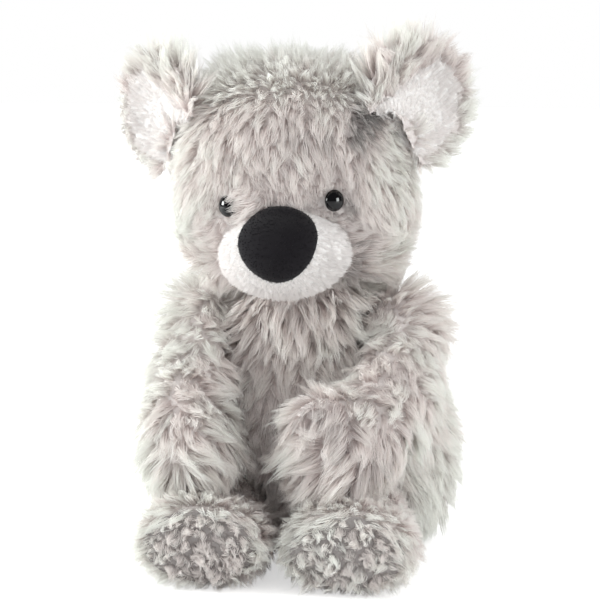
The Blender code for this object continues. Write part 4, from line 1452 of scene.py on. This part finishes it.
def studio_world(sky):
    """Even light, stronger from above, behind a plain white that only the camera sees."""
    world = bpy.data.worlds.new("soft_studio")
    world.use_nodes = True
    tree = world.node_tree
    tree.nodes.clear()
    path = add_node(tree, "ShaderNodeLightPath").outputs
    view = add_node(tree, "ShaderNodeTexCoord").outputs["Generated"]
    height = add_node(tree, "ShaderNodeSeparateXYZ", {0: view}).outputs["Z"]
    above = add_node(tree, "ShaderNodeMapRange", {
        "Value": height, "From Min": -1.0, "To Min": sky * 0.7, "To Max": sky * 1.3,
    }).outputs[0]
    links = {0: path["Is Glossy Ray"], 2: above, 3: sky * GLOSSY_SHARE}
    lit = add_node(tree, "ShaderNodeMix", links).outputs[0]
    even = add_node(tree, "ShaderNodeBackground", {"Color": WHITE, "Strength": lit}).outputs[0]
    white = add_node(tree, "ShaderNodeBackground", {"Color": WHITE, "Strength": 1.0}).outputs[0]
    mixed = add_node(tree, "ShaderNodeMixShader", {0: path["Is Camera Ray"], 1: even, 2: white})
    add_node(tree, "ShaderNodeOutputWorld", {"Surface": mixed.outputs[0]})
    return world


class KOALA_OT_stage(bpy.types.Operator):
    """Pale floor, soft light and the camera"""

    bl_idname = "koala.stage"
    bl_label = "Stage"

    def execute(self, context):
        stage = settings("stage")
        bpy.ops.mesh.primitive_plane_add(size=FLOOR_SIZE)
        floor = context.object
        floor.name = "floor"
        floor.data.materials.append(paper_material())
        context.scene.world = studio_world(stage.sky)

        target = Vector(stage.target)
        # A soft box at either side. Each shows as the bright spot in the eye on its side.
        for name, power, azimuth, elevation in (
            ("left_box", stage.left_power, -80, 12),
            ("right_box", stage.right_power, 70, 8),
        ):
            lamp = bpy.data.lights.new(name, "AREA")
            lamp.shape = "SQUARE"
            lamp.size = BOX_SIZE
            lamp.energy = power
            lamp.color = BOX_COLOUR
            away = direction(math.radians(azimuth), math.radians(elevation)) * BOX_AWAY
            place_facing(name, lamp, target, away)

        camera = bpy.data.cameras.new("camera")
        camera.lens = stage.lens
        camera.sensor_width = 36.0
        camera.clip_end = 20.0
        away = direction(stage.azimuth, stage.elevation) * stage.distance
        context.scene.camera = place_facing("camera", camera, target, away)
        context.scene.view_settings.view_transform = "Standard"
        return {"FINISHED"}


# Panel and run

class KOALA_PT_panel(bpy.types.Panel):
    """Lists the steps and their settings"""

    bl_idname = "KOALA_PT_panel"
    bl_label = "Koala"
    bl_space_type = "VIEW_3D"
    bl_region_type = "UI"
    bl_category = "Koala"

    def draw(self, context):
        for operator in OPERATORS:
            self.layout.operator(operator.bl_idname)
        for name in SETTINGS:
            box = self.layout.box()
            box.label(text=name.capitalize())
            for key in settings(name).__annotations__:
                box.prop(settings(name), key)


SETTINGS = {"pile": PileSettings, "trim": TrimSettings, "stage": StageSettings}
OPERATORS = (
    KOALA_OT_stage, KOALA_OT_torso, KOALA_OT_head, KOALA_OT_ears, KOALA_OT_arms, KOALA_OT_legs,
    KOALA_OT_soles, KOALA_OT_muzzle, KOALA_OT_linings, KOALA_OT_nose, KOALA_OT_eyes,
)
CLASSES = tuple(SETTINGS.values()) + OPERATORS + (KOALA_PT_panel,)


def register():
    for each in CLASSES:
        bpy.utils.register_class(each)
    for name, group in SETTINGS.items():
        setattr(bpy.types.Scene, f"koala_{name}", PointerProperty(type=group))


def unregister():
    for name in SETTINGS:
        delattr(bpy.types.Scene, f"koala_{name}")
    for each in reversed(CLASSES):
        bpy.utils.unregister_class(each)


def main():
    register()
    for operator in OPERATORS:
        space, name = operator.bl_idname.split(".")
        getattr(getattr(bpy.ops, space), name)()
    for maker in (long_locks, curls, short_tufts, velour_tufts):
        discard(MADE.pop(maker))


if __name__ == "__main__":
    main()
